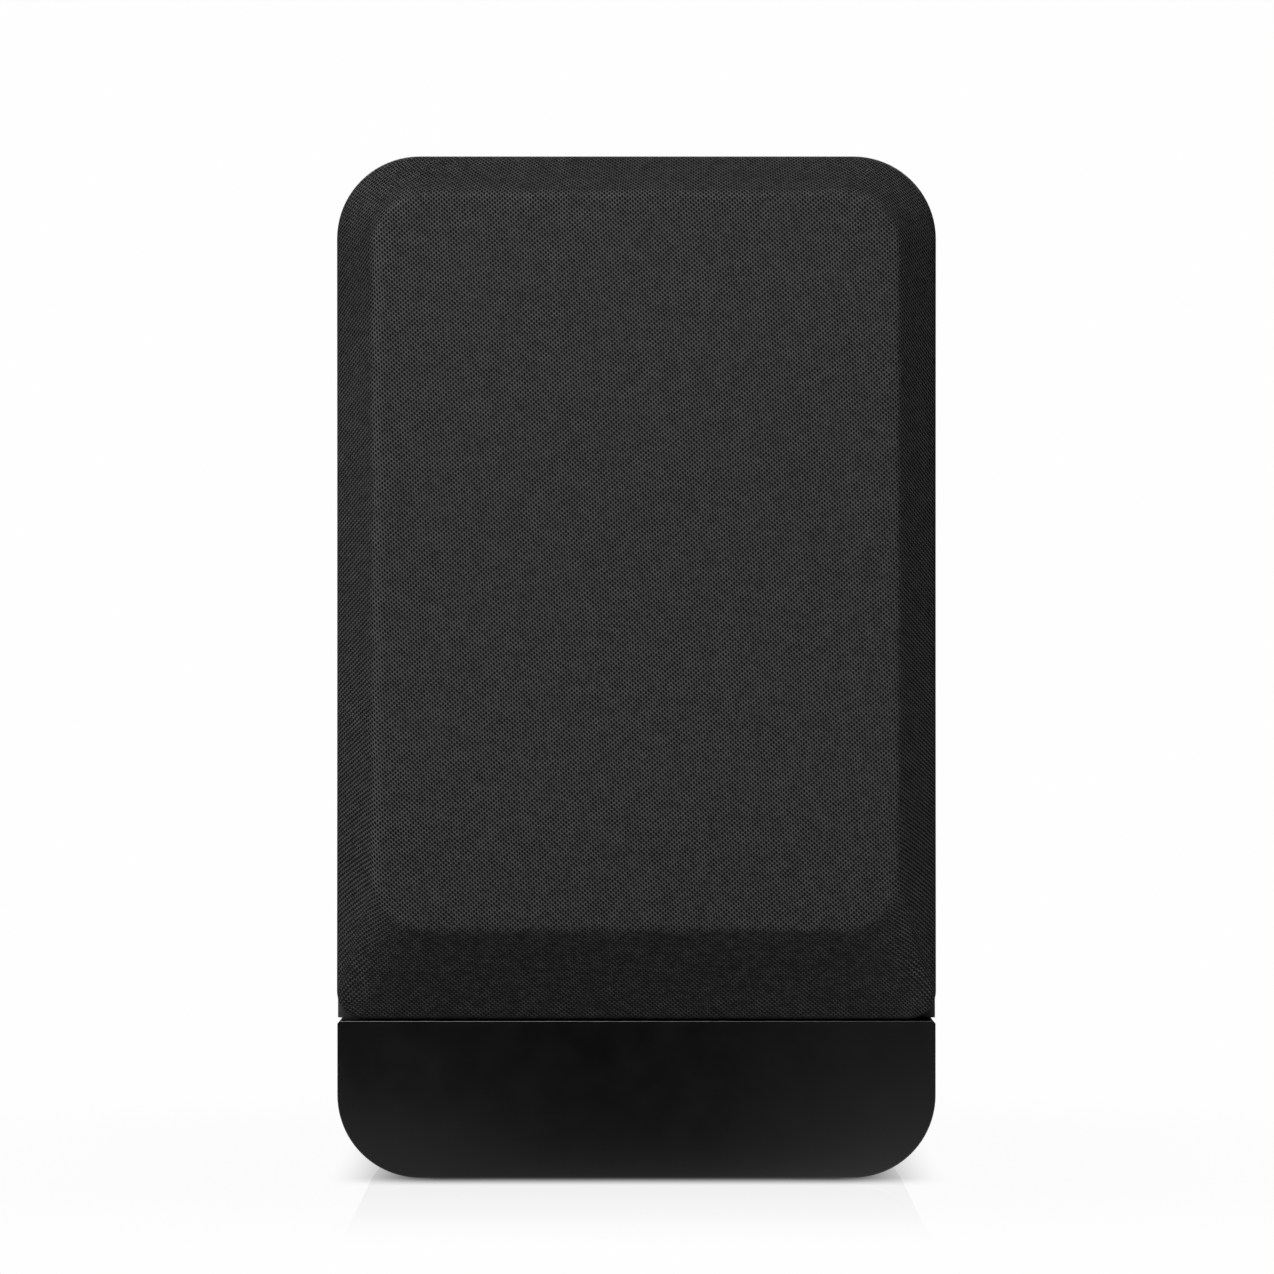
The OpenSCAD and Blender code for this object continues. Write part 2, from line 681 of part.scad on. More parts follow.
cabinet_shell();
front_baffle();
rear_panel();
cabinet_floor();
damping_foam();
base_shell();
base_lid();
base_front_panel();
base_rear_panel();
decoupling_gasket();
rubber_feet();
base_bolts();
port_tube();
bracket_inserts();
woofer_basket();
woofer_gasket();
woofer_surround();
woofer_cone();
woofer_dust_cap();
woofer_voice_coil();
woofer_spider();
woofer_top_plate();
woofer_magnet();
woofer_yoke();
woofer_screws();
woofer_tag_strip();
tweeter_faceplate();
tweeter_gasket();
tweeter_dome();
tweeter_surround();
tweeter_voice_coil();
tweeter_top_plate();
tweeter_magnet();
tweeter_yoke();
tweeter_rear_cup();
tweeter_screws();
crossover_board();
woofer_inductor();
tweeter_inductor();
film_capacitors();
power_resistors();
board_spacers();
board_screws();
terminal_cup();
terminal_screws();
post_studs();
post_collars();
post_nuts();
positive_washer();
negative_washer();
positive_core();
negative_core();
positive_knob();
negative_knob();
input_leads();
driver_leads();
grille_frame();
grille_cloth();
grille_magnets();
magnet_keepers();
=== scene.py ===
"""Looks of the bookshelf speaker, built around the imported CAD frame."""
import json
import math

import bmesh
import bpy
import numpy as np
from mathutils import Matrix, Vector

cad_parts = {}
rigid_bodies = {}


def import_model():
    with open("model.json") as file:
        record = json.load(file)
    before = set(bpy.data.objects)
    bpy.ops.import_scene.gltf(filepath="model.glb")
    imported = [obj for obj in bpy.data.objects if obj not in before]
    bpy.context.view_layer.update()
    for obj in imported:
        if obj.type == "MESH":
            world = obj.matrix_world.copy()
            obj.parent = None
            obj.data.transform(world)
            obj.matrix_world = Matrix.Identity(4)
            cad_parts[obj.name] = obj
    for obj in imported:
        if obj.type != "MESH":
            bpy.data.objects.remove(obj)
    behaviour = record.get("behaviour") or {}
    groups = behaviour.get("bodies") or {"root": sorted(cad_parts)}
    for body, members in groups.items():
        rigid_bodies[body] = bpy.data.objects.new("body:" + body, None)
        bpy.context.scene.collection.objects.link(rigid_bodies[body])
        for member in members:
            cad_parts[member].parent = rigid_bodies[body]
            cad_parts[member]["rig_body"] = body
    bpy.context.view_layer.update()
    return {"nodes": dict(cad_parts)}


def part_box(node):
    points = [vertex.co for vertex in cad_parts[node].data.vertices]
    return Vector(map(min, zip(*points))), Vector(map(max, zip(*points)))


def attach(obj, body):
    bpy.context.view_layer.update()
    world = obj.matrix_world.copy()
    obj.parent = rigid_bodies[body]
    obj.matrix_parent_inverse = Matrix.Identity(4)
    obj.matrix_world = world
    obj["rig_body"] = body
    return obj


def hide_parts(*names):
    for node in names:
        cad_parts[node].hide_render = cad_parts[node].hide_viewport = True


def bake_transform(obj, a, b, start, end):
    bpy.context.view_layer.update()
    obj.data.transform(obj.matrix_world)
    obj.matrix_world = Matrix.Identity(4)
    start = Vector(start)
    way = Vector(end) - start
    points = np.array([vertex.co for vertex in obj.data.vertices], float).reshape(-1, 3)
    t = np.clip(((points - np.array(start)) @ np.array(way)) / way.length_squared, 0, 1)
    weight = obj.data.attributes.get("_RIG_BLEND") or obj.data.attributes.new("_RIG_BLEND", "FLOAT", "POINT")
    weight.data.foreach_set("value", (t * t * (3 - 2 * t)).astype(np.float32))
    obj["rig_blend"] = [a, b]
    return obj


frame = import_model()
NODE = frame["nodes"]
SCENE = bpy.context.scene
MM = 0.001
TAU = 2 * math.pi


def box_mm(node):
    lo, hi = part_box(node)
    return lo / MM, hi / MM


# Planes and axes, in millimetres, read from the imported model.
CLOTH_LO, CLOTH_HI = box_mm("grille_cloth")
SHELL_LO, SHELL_HI = box_mm("cabinet_shell")
PANEL_LO, PANEL_HI = box_mm("base_front_panel")
FRONT = CLOTH_LO.y                          # raised face of the grille
BACK = CLOTH_HI.y                           # rear plane of the grille
CAB = SHELL_LO.y                            # front plane of cabinet and baffle
REAR = SHELL_HI.y
EDGE = PANEL_LO.y                           # front plane of the grille's edge
HALF_W = SHELL_HI.x
TOP = SHELL_HI.z
CAB_Z = SHELL_LO.z
WOOFER_Z = (box_mm("woofer_magnet")[0].z + box_mm("woofer_magnet")[1].z) / 2
TWEETER_Z = (box_mm("tweeter_magnet")[0].z + box_mm("tweeter_magnet")[1].z) / 2
POST_Z = (box_mm("positive_knob")[0].z + box_mm("positive_knob")[1].z) / 2
POST_X = (box_mm("positive_knob")[0].x + box_mm("positive_knob")[1].x) / 2

# Shape of the grille, as the CAD source draws it.
CORNER_R, FOOT_R, PLATEAU_R = 31.0, 10.5, 20.0
BEVEL_W, BEVEL_BOTTOM = 14.9, 34.1
PLATEAU_X = HALF_W - BEVEL_W + 0.3
PLATEAU_Z0 = CAB_Z + BEVEL_BOTTOM + 0.7
PLATEAU_Z1 = TOP - BEVEL_W


# ---------------------------------------------------------------- camera

camera = bpy.data.objects.new("camera", bpy.data.cameras.new("camera"))
SCENE.collection.objects.link(camera)
camera.location = (0.0002, -2.6085, 0.2045)
camera.rotation_euler = (math.pi / 2, 0, 0)
camera.data.sensor_width = 36
camera.data.lens = 36 * 2.5 / 0.4782
camera.data.clip_end = 50
SCENE.camera = camera
SCENE.view_settings.view_transform = "Standard"


# ---------------------------------------------------------------- shader helpers

class Shade:
    """A material with a Principled shader, and short names for the nodes that feed it."""

    def __init__(self, name, color=(0.1, 0.1, 0.1), rough=0.5, metal=0.0, **sockets):
        self.m = bpy.data.materials.new(name)
        self.m.use_nodes = True
        self.t = self.m.node_tree
        self.t.nodes.clear()
        self.out = self.new("ShaderNodeOutputMaterial")
        self.b = self.new("ShaderNodeBsdfPrincipled")
        self.t.links.new(self.b.outputs["BSDF"], self.out.inputs["Surface"])
        self.co = self.new("ShaderNodeTexCoord").outputs["Object"]
        self.b.inputs["Base Color"].default_value = (*color, 1)
        self.b.inputs["Roughness"].default_value = rough
        self.b.inputs["Metallic"].default_value = metal
        for key, value in sockets.items():
            self.b.inputs[key.replace("_", " ")].default_value = value
        self.m.diffuse_color = (*color, 1)
        self.heights = []

    def new(self, kind, **props):
        node = self.t.nodes.new(kind)
        for key, value in props.items():
            setattr(node, key, value)
        return node

    def put(self, socket, value):
        if isinstance(value, bpy.types.NodeSocket):
            self.t.links.new(value, socket)
        else:
            socket.default_value = value

    def math(self, op, a, b=0.0, c=0.0):
        node = self.new("ShaderNodeMath", operation=op)
        for socket, value in zip(node.inputs, (a, b, c)):
            self.put(socket, value)
        return node.outputs[0]

    def vec(self, op, a, b=(0, 0, 0)):
        node = self.new("ShaderNodeVectorMath", operation=op)
        self.put(node.inputs[0], a)
        if op == "SCALE":
            self.put(node.inputs["Scale"], b)
        else:
            self.put(node.inputs[1], b)
        return node.outputs["Value" if op in ("DOT_PRODUCT", "LENGTH") else "Vector"]

    def split(self, v):
        node = self.new("ShaderNodeSeparateXYZ")
        self.put(node.inputs[0], v)
        return node.outputs

    def join(self, x=0.0, y=0.0, z=0.0):
        node = self.new("ShaderNodeCombineXYZ")
        for socket, value in zip(node.inputs, (x, y, z)):
            self.put(socket, value)
        return node.outputs[0]

    def noise(self, size, detail=3.0, rough=0.55, co=None, dims="3D"):
        """Noise whose blobs are about size millimetres across."""
        node = self.new("ShaderNodeTexNoise", noise_dimensions=dims)
        self.put(node.inputs["Vector"], self.co if co is None else co)
        node.inputs["Scale"].default_value = 1000.0 / size if co is None else 1.0 / size
        node.inputs["Detail"].default_value = detail
        node.inputs["Roughness"].default_value = rough
        return node.outputs[0]

    def cells(self, size, co=None, feature="F1", randomness=1.0):
        node = self.new("ShaderNodeTexVoronoi", feature=feature)
        self.put(node.inputs["Vector"], self.co if co is None else co)
        node.inputs["Scale"].default_value = 1000.0 / size if co is None else 1.0 / size
        node.inputs["Randomness"].default_value = randomness
        return node.outputs[0]

    def span(self, value, a, b, lo, hi, smooth=False):
        node = self.new("ShaderNodeMapRange", interpolation_type="SMOOTHSTEP" if smooth else "LINEAR")
        for socket, v in zip(node.inputs[:5], (value, a, b, lo, hi)):
            self.put(socket, v)
        return node.outputs[0]

    def mix(self, factor, a, b):
        node = self.new("ShaderNodeMix", data_type="RGBA")
        self.put(node.inputs["Factor"], factor)
        for socket, value in zip([s for s in node.inputs if s.type == "RGBA"], (a, b)):
            self.put(socket, (*value, 1) if isinstance(value, tuple) and len(value) == 3 else value)
        return [s for s in node.outputs if s.type == "RGBA"][0]

    def color(self, value):
        self.put(self.b.inputs["Base Color"], value)
        return self

    def rough(self, value):
        self.put(self.b.inputs["Roughness"], value)
        return self

    def mottle(self, color, spread, size, detail=4.0):
        """The base colour, varied by a share spread over blobs of a size."""
        lo = tuple(c * (1 - spread) for c in color)
        hi = tuple(min(1.0, c * (1 + spread)) for c in color)
        return self.color(self.mix(self.span(self.noise(size, detail), 0.3, 0.7, 0, 1), lo, hi))

    def bump(self, height, depth, strength=1.0):
        """Adds relief: a height from 0 to 1 is that many millimetres deep."""
        node = self.new("ShaderNodeBump")
        node.inputs["Strength"].default_value = strength
        node.inputs["Distance"].default_value = depth * MM
        self.put(node.inputs["Height"], height)
        if self.heights:
            self.t.links.new(self.heights[-1], node.inputs["Normal"])
        self.heights.append(node.outputs[0])
        for old in list(self.b.inputs["Normal"].links):
            self.t.links.remove(old)
        self.t.links.new(node.outputs[0], self.b.inputs["Normal"])
        return self

    def radius(self, x, z):
        """Distance in mm from an axis along Y through (x, z) mm."""
        s = self.split(self.vec("SUBTRACT", self.vec("SCALE", self.co, 1000.0), (x, 0, z)))
        return self.math("SQRT", self.math("ADD", self.math("MULTIPLY", s[0], s[0]), self.math("MULTIPLY", s[2], s[2])))

    def axial(self, axis):
        return self.math("MULTIPLY", self.split(self.co)[axis], 1000.0)


# ---------------------------------------------------------------- mesh helpers

def shown(name, mesh, material, body=None, nodes=(), smooth=None):
    """Links a mesh as a piece with its material, body and the CAD nodes it stands for."""
    ob = bpy.data.objects.new(name, mesh)
    SCENE.collection.objects.link(ob)
    mesh.materials.clear()
    mesh.materials.append(material)
    if smooth is not None:
        mesh.shade_smooth()
        mesh.set_sharp_from_angle(angle=math.radians(smooth))
    if nodes:
        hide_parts(*nodes)
    if body:
        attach(ob, body)
    return ob


def mesh_of(name, verts, faces, outward=True):
    me = bpy.data.meshes.new(name)
    me.from_pydata([tuple(c * MM for c in v) for v in verts], [], faces)
    if outward:
        bm = bmesh.new()
        bm.from_mesh(me)
        bmesh.ops.recalc_face_normals(bm, faces=bm.faces)
        bm.to_mesh(me)
        bm.free()
    me.validate()
    return me


def body_of(node):
    return NODE[node]["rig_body"]


def refined(node, material, width=0.3, segments=2, angle=34, sharp=50, name=None, trim=0.0):
    """A cleaned copy of a CAD node whose hard edges are rounded by width millimetres. It stands for the node.
    The two upper side edges can be trimmed at 45 degrees by trim millimetres."""
    me = NODE[node].data.copy()
    me.name = name or node + "_finish"
    bm = bmesh.new()
    bm.from_mesh(me)
    bmesh.ops.remove_doubles(bm, verts=bm.verts, dist=2e-6)
    bmesh.ops.dissolve_limit(bm, angle_limit=math.radians(0.4), verts=bm.verts, edges=bm.edges)
    if trim:
        half = max(v.co.x for v in bm.verts)
        top = max(v.co.z for v in bm.verts)
        for s in (-1, 1):
            cut = bmesh.ops.bisect_plane(bm, geom=bm.verts[:] + bm.edges[:] + bm.faces[:], dist=1e-7,
                                         plane_co=(s * (half - trim * MM), 0, top), plane_no=(s, 0, 1), clear_outer=True)
            rim = [e for e in cut["geom_cut"] if isinstance(e, bmesh.types.BMEdge) and e.is_boundary]
            bmesh.ops.contextual_create(bm, geom=rim)
    hard = [e for e in bm.edges if e.is_manifold and e.calc_face_angle(0) > math.radians(angle)]
    if hard and width:
        bmesh.ops.bevel(bm, geom=hard, offset=width * MM, offset_type="OFFSET", segments=segments,
                        profile=0.5, affect="EDGES", clamp_overlap=True)
    bmesh.ops.recalc_face_normals(bm, faces=bm.faces)
    bm.to_mesh(me)
    bm.free()
    for name_ in [a.name for a in me.attributes if a.name in ("custom_normal",)]:
        me.attributes.remove(me.attributes[name_])
    for layer in list(me.uv_layers):
        me.uv_layers.remove(layer)
    ob = shown(me.name, me, material, body_of(node), (node,), smooth=sharp)
    weighted = ob.modifiers.new("weighted", "WEIGHTED_NORMAL")
    weighted.keep_sharp = True
    weighted.weight = 60
    return ob


def painted(node, material):
    """A CAD node that stays as it is, with a better material."""
    ob = NODE[node]
    ob.data.materials.clear()
    ob.data.materials.append(material)
    return ob


def lathe(name, profile, z, material, turns=128, smooth=40, x=0.0):
    """A closed profile of (radius, y) in mm, turned about an axis along Y through (x, z). Returned without a body."""
    n = len(profile)
    verts = [(x + r * math.cos(TAU * k / turns), y, z + r * math.sin(TAU * k / turns))
             for k in range(turns) for r, y in profile]
    faces = [(k * n + i, k * n + (i + 1) % n, ((k + 1) % turns) * n + (i + 1) % n, ((k + 1) % turns) * n + i)
             for k in range(turns) for i in range(n)]
    return shown(name, mesh_of(name, verts, faces), material, smooth=smooth)


def radial_blend(ob, body, z, inner, outer):
    """The piece follows body inside radius inner and the root outside radius outer, in mm about the axis through z."""
    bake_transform(ob, "root", body, start=(0, 0, z * MM), end=(0, 0.01, z * MM))
    co = np.array([v.co for v in ob.data.vertices], float).reshape(-1, 3)
    r = np.hypot(co[:, 0], co[:, 2] - z * MM) / MM
    t = np.clip((outer - r) / (outer - inner), 0, 1)
    ob.data.attributes["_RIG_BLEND"].data.foreach_set("value", (t * t * (3 - 2 * t)).astype(np.float32))


# ---------------------------------------------------------------- materials

def satin_lacquer(name, color, rough, peel=0.006, specular=0.5, rim=None):
    """Sprayed satin lacquer over fibreboard: fine orange peel, faint cloudiness in the gloss. The foot of the front
    rim can be painted lighter in the given colour, as painted light on a face that lies in shade."""
    s = Shade(name, color, rough, Specular_IOR_Level=specular)
    cloud = s.span(s.noise(9.0, 5.0), 0.3, 0.7, 0, 1)
    coat = s.mix(cloud, tuple(c * 0.9 for c in color), tuple(c * 1.1 for c in color))
    # A lighter coat on the foot of the front rim is painted light, on a face that lies in shade behind the grille's
    # lower corners.
    if rim:
        thin = s.mix(cloud, tuple(c * 0.9 for c in rim), tuple(c * 1.1 for c in rim))
        x, y, z = s.split(s.co)
        front = s.span(y, (CAB + 0.1) * MM, (CAB + 0.5) * MM, 1.0, 0.0, smooth=True)
        foot = s.span(z, (CAB_Z + 11) * MM, (CAB_Z + 12) * MM, 1.0, 0.0, smooth=True)
        coat = s.mix(s.math("MULTIPLY", front, foot), coat, thin)
    s.color(coat)
    s.rough(s.span(s.noise(14.0, 4.0), 0.25, 0.75, rough - 0.035, rough + 0.045))
    s.bump(s.noise(1.5, 2.0, 0.45), peel)
    s.bump(s.noise(0.22, 2.0, 0.6), 0.0012)
    return s.m


def fibreboard(name, color, dark=False):
    s = Shade(name, color, 0.86, Specular_IOR_Level=0.3)
    co = s.vec("MULTIPLY", s.vec("SCALE", s.co, 1000.0), (1.0, 1.0, 3.5))
    fibre = s.noise(1.1, 5.0, 0.7, co=co)
    speck = s.noise(0.35, 2.0, 0.5)
    lo = tuple(c * (0.62 if not dark else 0.5) for c in color)
    hi = tuple(min(1, c * (1.22 if not dark else 1.7)) for c in color)
    s.color(s.mix(s.span(s.math("ADD", s.math("MULTIPLY", fibre, 0.7), s.math("MULTIPLY", speck, 0.3)), 0.36, 0.64, 0, 1), lo, hi))
    s.bump(fibre, 0.05)
    s.bump(speck, 0.02)
    return s.m


def moulded(name, color, rough=0.46, grain=0.02, size=0.45):
    """Moulded plastic with a fine spark-eroded texture."""
    s = Shade(name, color, rough)
    s.mottle(color, 0.12, 6.0)
    s.rough(s.span(s.noise(3.0, 3.0), 0.3, 0.7, rough - 0.05, rough + 0.07))
    s.bump(s.noise(size, 3.0, 0.6), grain)
    return s.m


def rubber(name, color, rough=0.62, grain=0.012):
    s = Shade(name, color, rough, Specular_IOR_Level=0.45)
    s.mottle(color, 0.18, 5.0)
    s.rough(s.span(s.noise(8.0, 5.0), 0.3, 0.7, rough - 0.07, rough + 0.08))
    s.bump(s.noise(0.3, 3.0), grain)
    return s.m


def turned_metal(name, color, rough, x, z, metal=1.0, ridge=0.008):
    """Metal with lathe marks round an axis along Y."""
    s = Shade(name, color, rough, metal)
    r = s.radius(x, z)
    marks = s.noise(0.16, 3.0, 0.6, co=s.join(r, s.axial(1), 0.0))
    cloud = s.noise(5.0, 3.0)
    s.color(s.mix(s.span(cloud, 0.3, 0.7, 0, 1), tuple(c * 0.9 for c in color), tuple(min(1, c * 1.06) for c in color)))
    s.rough(s.span(marks, 0.3, 0.7, rough - 0.06, rough + 0.1))
    s.bump(marks, ridge)
    return s.m


def plated(name, color, rough, metal=1.0, scratch=0.006):
    """Plated metal: cloudy gloss and fine handling scratches."""
    s = Shade(name, color, rough, metal)
    cloud = s.noise(2.6, 4.0)
    s.color(s.mix(s.span(cloud, 0.3, 0.7, 0, 1), tuple(c * 0.88 for c in color), tuple(min(1, c * 1.05) for c in color)))
    co = s.vec("MULTIPLY", s.vec("SCALE", s.co, 1000.0), (6.0, 0.8, 3.0))
    s.rough(s.span(s.math("ADD", s.math("MULTIPLY", cloud, 0.5), s.math("MULTIPLY", s.noise(0.7, 3.0, 0.6, co=co), 0.5)), 0.35, 0.65, rough - 0.06, rough + 0.12))
    s.bump(s.noise(0.5, 3.0, 0.6, co=co), scratch)
    return s.m


def winding(name, axis, x, y, z, pitch, flat=False):
    """Enamelled copper wire laid in turns, along an axis through (x, y, z) mm."""
    s = Shade(name, (0.62, 0.25, 0.1), 0.32, 1.0, Coat_Weight=0.5, Coat_Roughness=0.2)
    p = s.split(s.vec("SUBTRACT", s.vec("SCALE", s.co, 1000.0), (x, y, z)))
    a, b = [p[i] for i in range(3) if i != axis]
    r = s.math("SQRT", s.math("ADD", s.math("MULTIPLY", a, a), s.math("MULTIPLY", b, b)))
    n = s.math("ABSOLUTE", s.split(s.new("ShaderNodeNewGeometry").outputs["True Normal"])[axis])
    end = s.math("GREATER_THAN", n, 0.7)
    along = s.math("ADD", s.math("MULTIPLY", r, end), s.math("MULTIPLY", p[axis], s.math("SUBTRACT", 1.0, end)))
    wave = s.math("ABSOLUTE", s.math("SINE", s.math("MULTIPLY", along, math.pi / pitch)))
    # The dark bands between the turns are painted shade in the creases.
    s.color(s.mix(s.span(wave, 0.0, 0.45, 0, 1), (0.09, 0.03, 0.012), s.mix(s.noise(3.0), (0.5, 0.18, 0.07), (0.78, 0.36, 0.16))))
    s.bump(wave, 0.3 * pitch)
    return s.m


PAINTED_SHADE_LOW_BEVEL, PAINTED_SHADE_SIDE_BEVELS, PAINTED_SHADE_TOP_BEVEL = 0.26, 0.07, 0.10                            # painted shade: the holes are made this much wider on these bevels, to darken them
PAINTED_SHADE_FOOT, PAINTED_SHADE_CROWN = 0.045, 0.08                                          # and near the foot of the centre and on the upper left corner, as painted shade
PAINTED_HIGHLIGHT_RIDGE = 0.09                                                            # painted highlight: the holes are made tighter over the left ridge, to lighten it


def knit(name):
    """Warp-knitted polyester: wavy upright threads with small staggered holes between them. The holes are widened in
    places as painted shade and narrowed over the left ridge as a painted highlight.
    """
    s = Shade(name, (0.046, 0.046, 0.0465), 0.7, Specular_IOR_Level=0.22)
    uv = s.new("ShaderNodeUVMap", uv_map="cloth").outputs[0]
    p = s.vec("SCALE", uv, 1000.0)
    sway = s.noise(26.0, 2.0, 0.5, co=p)
    jitter = s.noise(3.4, 2.0, 0.5, co=s.vec("ADD", p, (310.0, 70.0, 5.0)))
    offset = s.join(s.math("ADD", s.span(sway, 0, 1, -0.42, 0.42), s.span(jitter, 0, 1, -0.22, 0.22)),
                    s.span(s.noise(3.1, 2.0, 0.5, co=s.vec("ADD", p, (40.0, 610.0, 9.0))), 0, 1, -0.20, 0.20), 0.0)
    p = s.vec("ADD", p, offset)
    a = s.vec("DOT_PRODUCT", p, (-0.559, -0.626, 0.0))
    b = s.vec("DOT_PRODUCT", p, (0.492, -0.570, 0.0))
    cell = s.join(s.math("ROUND", a), s.math("ROUND", b), 0.0)
    each = s.new("ShaderNodeTexWhiteNoise", noise_dimensions="2D")
    s.put(each.inputs["Vector"], cell)
    each = each.outputs["Value"]

    def wave(v, k=1.0):
        return s.math("COSINE", s.math("MULTIPLY", v, TAU * k))

    # How far a point lies out over the plateau's rounded edge, and whether that is sideways, up or down.
    across, up, _ = s.split(uv)
    ax = s.math("MAXIMUM", s.math("SUBTRACT", s.math("ABSOLUTE", across), (PLATEAU_X - PLATEAU_R) * MM), 0.0)
    down = s.math("MAXIMUM", s.math("SUBTRACT", (PLATEAU_Z0 + PLATEAU_R) * MM, up), 0.0)
    rise = s.math("MAXIMUM", s.math("SUBTRACT", up, (PLATEAU_Z1 - PLATEAU_R) * MM), 0.0)
    xx = s.math("MULTIPLY", ax, ax)
    zz = s.math("ADD", s.math("MULTIPLY", down, down), s.math("MULTIPLY", rise, rise))
    far = s.math("SQRT", s.math("ADD", s.math("ADD", xx, zz), 1e-10))
    bevel = s.span(far, (PLATEAU_R - 1) * MM, (PLATEAU_R + 4) * MM, 0.0, 1.0, smooth=True)
    upright = s.math("DIVIDE", zz, s.math("ADD", s.math("ADD", xx, zz), 1e-10))
    sides = s.math("MULTIPLY", bevel, s.math("SUBTRACT", 1.0, upright))
    ends = s.math("MULTIPLY", bevel, upright)
    lower = s.math("MULTIPLY", ends, s.math("GREATER_THAN", down, 0.0))
    upper = s.math("MULTIPLY", ends, s.math("GREATER_THAN", rise, 0.0))
    right = s.math("MULTIPLY", sides, s.math("GREATER_THAN", across, 0.0))
    left = s.math("SUBTRACT", sides, right)
    skew = s.math("SUBTRACT", left, right)                   # the side bands are skewed, which opens one diagonal
    share_a = s.math("SUBTRACT", 0.39, s.math("MULTIPLY", skew, 0.09))
    share_b = s.math("ADD", 0.33, s.math("MULTIPLY", skew, 0.09))
    rows = s.math("ADD", s.math("MULTIPLY", wave(a), share_a), s.math("MULTIPLY", wave(b), share_b))
    ribs = s.math("MULTIPLY", wave(s.math("SUBTRACT", a, b)), 0.30)
    hollow = s.math("ADD", rows, ribs)                       # 1 in the middle of a hole, -1 on the crown of a thread
    # Painted shade: the holes open wider on the bevels, near the foot of the centre and on the upper left corner, which
    # darkens the cloth there.
    low = s.math("MAXIMUM", s.math("MULTIPLY", lower, PAINTED_SHADE_LOW_BEVEL), s.math("MULTIPLY", sides, PAINTED_SHADE_SIDE_BEVELS))
    low = s.math("MAXIMUM", low, s.math("MULTIPLY", upper, PAINTED_SHADE_TOP_BEVEL))
    foot = s.math("MULTIPLY", s.span(up, 0.100, 0.155, PAINTED_SHADE_FOOT, 0.0, smooth=True), s.math("SUBTRACT", 1.0, lower))
    crown = s.math("MULTIPLY", s.span(up, 0.295, 0.345, 0.0, PAINTED_SHADE_CROWN, smooth=True), left)
    low = s.math("ADD", low, s.math("ADD", foot, crown))
    # Painted highlight: the holes close up over the left ridge, which lightens the cloth there.
    ridge = s.math("MULTIPLY", s.span(far, (PLATEAU_R - 4.5) * MM, (PLATEAU_R - 1.5) * MM, 0.0, PAINTED_HIGHLIGHT_RIDGE, smooth=True),
                   s.span(far, (PLATEAU_R - 0.5) * MM, (PLATEAU_R + 1.5) * MM, 1.0, 0.0, smooth=True))
    ridge = s.math("MULTIPLY", ridge, s.math("MULTIPLY", s.math("SUBTRACT", 1.0, upright), s.math("LESS_THAN", across, 0.0)))
    low = s.math("SUBTRACT", low, ridge)
    size = s.math("ADD", low, s.span(each, 0.0, 1.0, -0.095, 0.095))                   # painted shade: wider holes darken the lower bevel and the other marked places; each hole also varies at random
    hole = s.span(s.math("ADD", hollow, size), -0.46, 0.10, 0.0, 1.0, smooth=True)
    depth = s.math("MULTIPLY", hole, s.span(bevel, 0.0, 1.0, 0.98, 0.935))            # and the lining shows through a little
    lint = s.math("ADD", s.math("MULTIPLY", s.noise(0.62, 2.0, 0.6, co=p), 0.6), s.math("MULTIPLY", s.noise(7.0, 3.0, 0.6, co=p), 0.4))
    thread = s.mix(s.span(lint, 0.32, 0.68, 0, 1), (0.086, 0.086, 0.087), (0.150, 0.150, 0.1515))
    s.color(s.mix(depth, thread, (0.002, 0.002, 0.0021)))
    s.rough(s.span(depth, 0, 1, 0.44, 0.9))
    fibre = s.noise(0.16, 2.0, 0.6, co=s.vec("MULTIPLY", p, (1.0, 0.35, 1.0)))
    s.bump(s.math("ADD", s.math("MULTIPLY", hollow, -0.45), s.math("MULTIPLY", fibre, 0.16)), 0.20)
    return s.m


def foam_material(name):
    s = Shade(name, (0.05, 0.05, 0.055), 0.95, Specular_IOR_Level=0.2, Sheen_Weight=0.15, Sheen_Roughness=0.6)
    pores = s.cells(1.1)
    # Dark pore centres are painted shade in the pits.
    s.color(s.mix(s.span(pores, 0.1, 0.75, 0, 1), (0.012, 0.012, 0.014), (0.075, 0.075, 0.082)))
    s.bump(pores, 0.5)
    s.bump(s.noise(0.5), 0.2)
    return s.m


def paper(name, color, rough=0.78, fibre=0.05, rings=None, x=0.0, z=0.0):
    s = Shade(name, color, rough, Specular_IOR_Level=0.4)
    pulp = s.noise(1.6, 6.0, 0.72)
    s.color(s.mix(s.span(pulp, 0.3, 0.7, 0, 1), tuple(c * 0.7 for c in color), tuple(c * 1.35 for c in color)))
    s.rough(s.span(pulp, 0.3, 0.7, rough - 0.12, rough + 0.1))
    s.bump(pulp, fibre)
    return s.m


def cloth_weave(name, color, pitch, dark=0.45, coat=0.0, x=0.0, z=0.0, depth=0.08):
    """Plain woven cloth stiffened with resin or coating."""
    s = Shade(name, color, 0.7, Coat_Weight=coat, Coat_Roughness=0.35)
    p = s.split(s.vec("SCALE", s.co, 1000.0))
    u = s.math("SINE", s.math("MULTIPLY", p[0], TAU / pitch))
    v = s.math("SINE", s.math("MULTIPLY", p[2], TAU / pitch))
    w = s.span(s.math("MULTIPLY", u, v), -1, 1, 0, 1)
    s.color(s.mix(w, tuple(c * dark for c in color), s.mix(s.noise(4.0), tuple(c * 0.85 for c in color), tuple(min(1, c * 1.15) for c in color))))
    s.bump(w, depth)
    return s.m


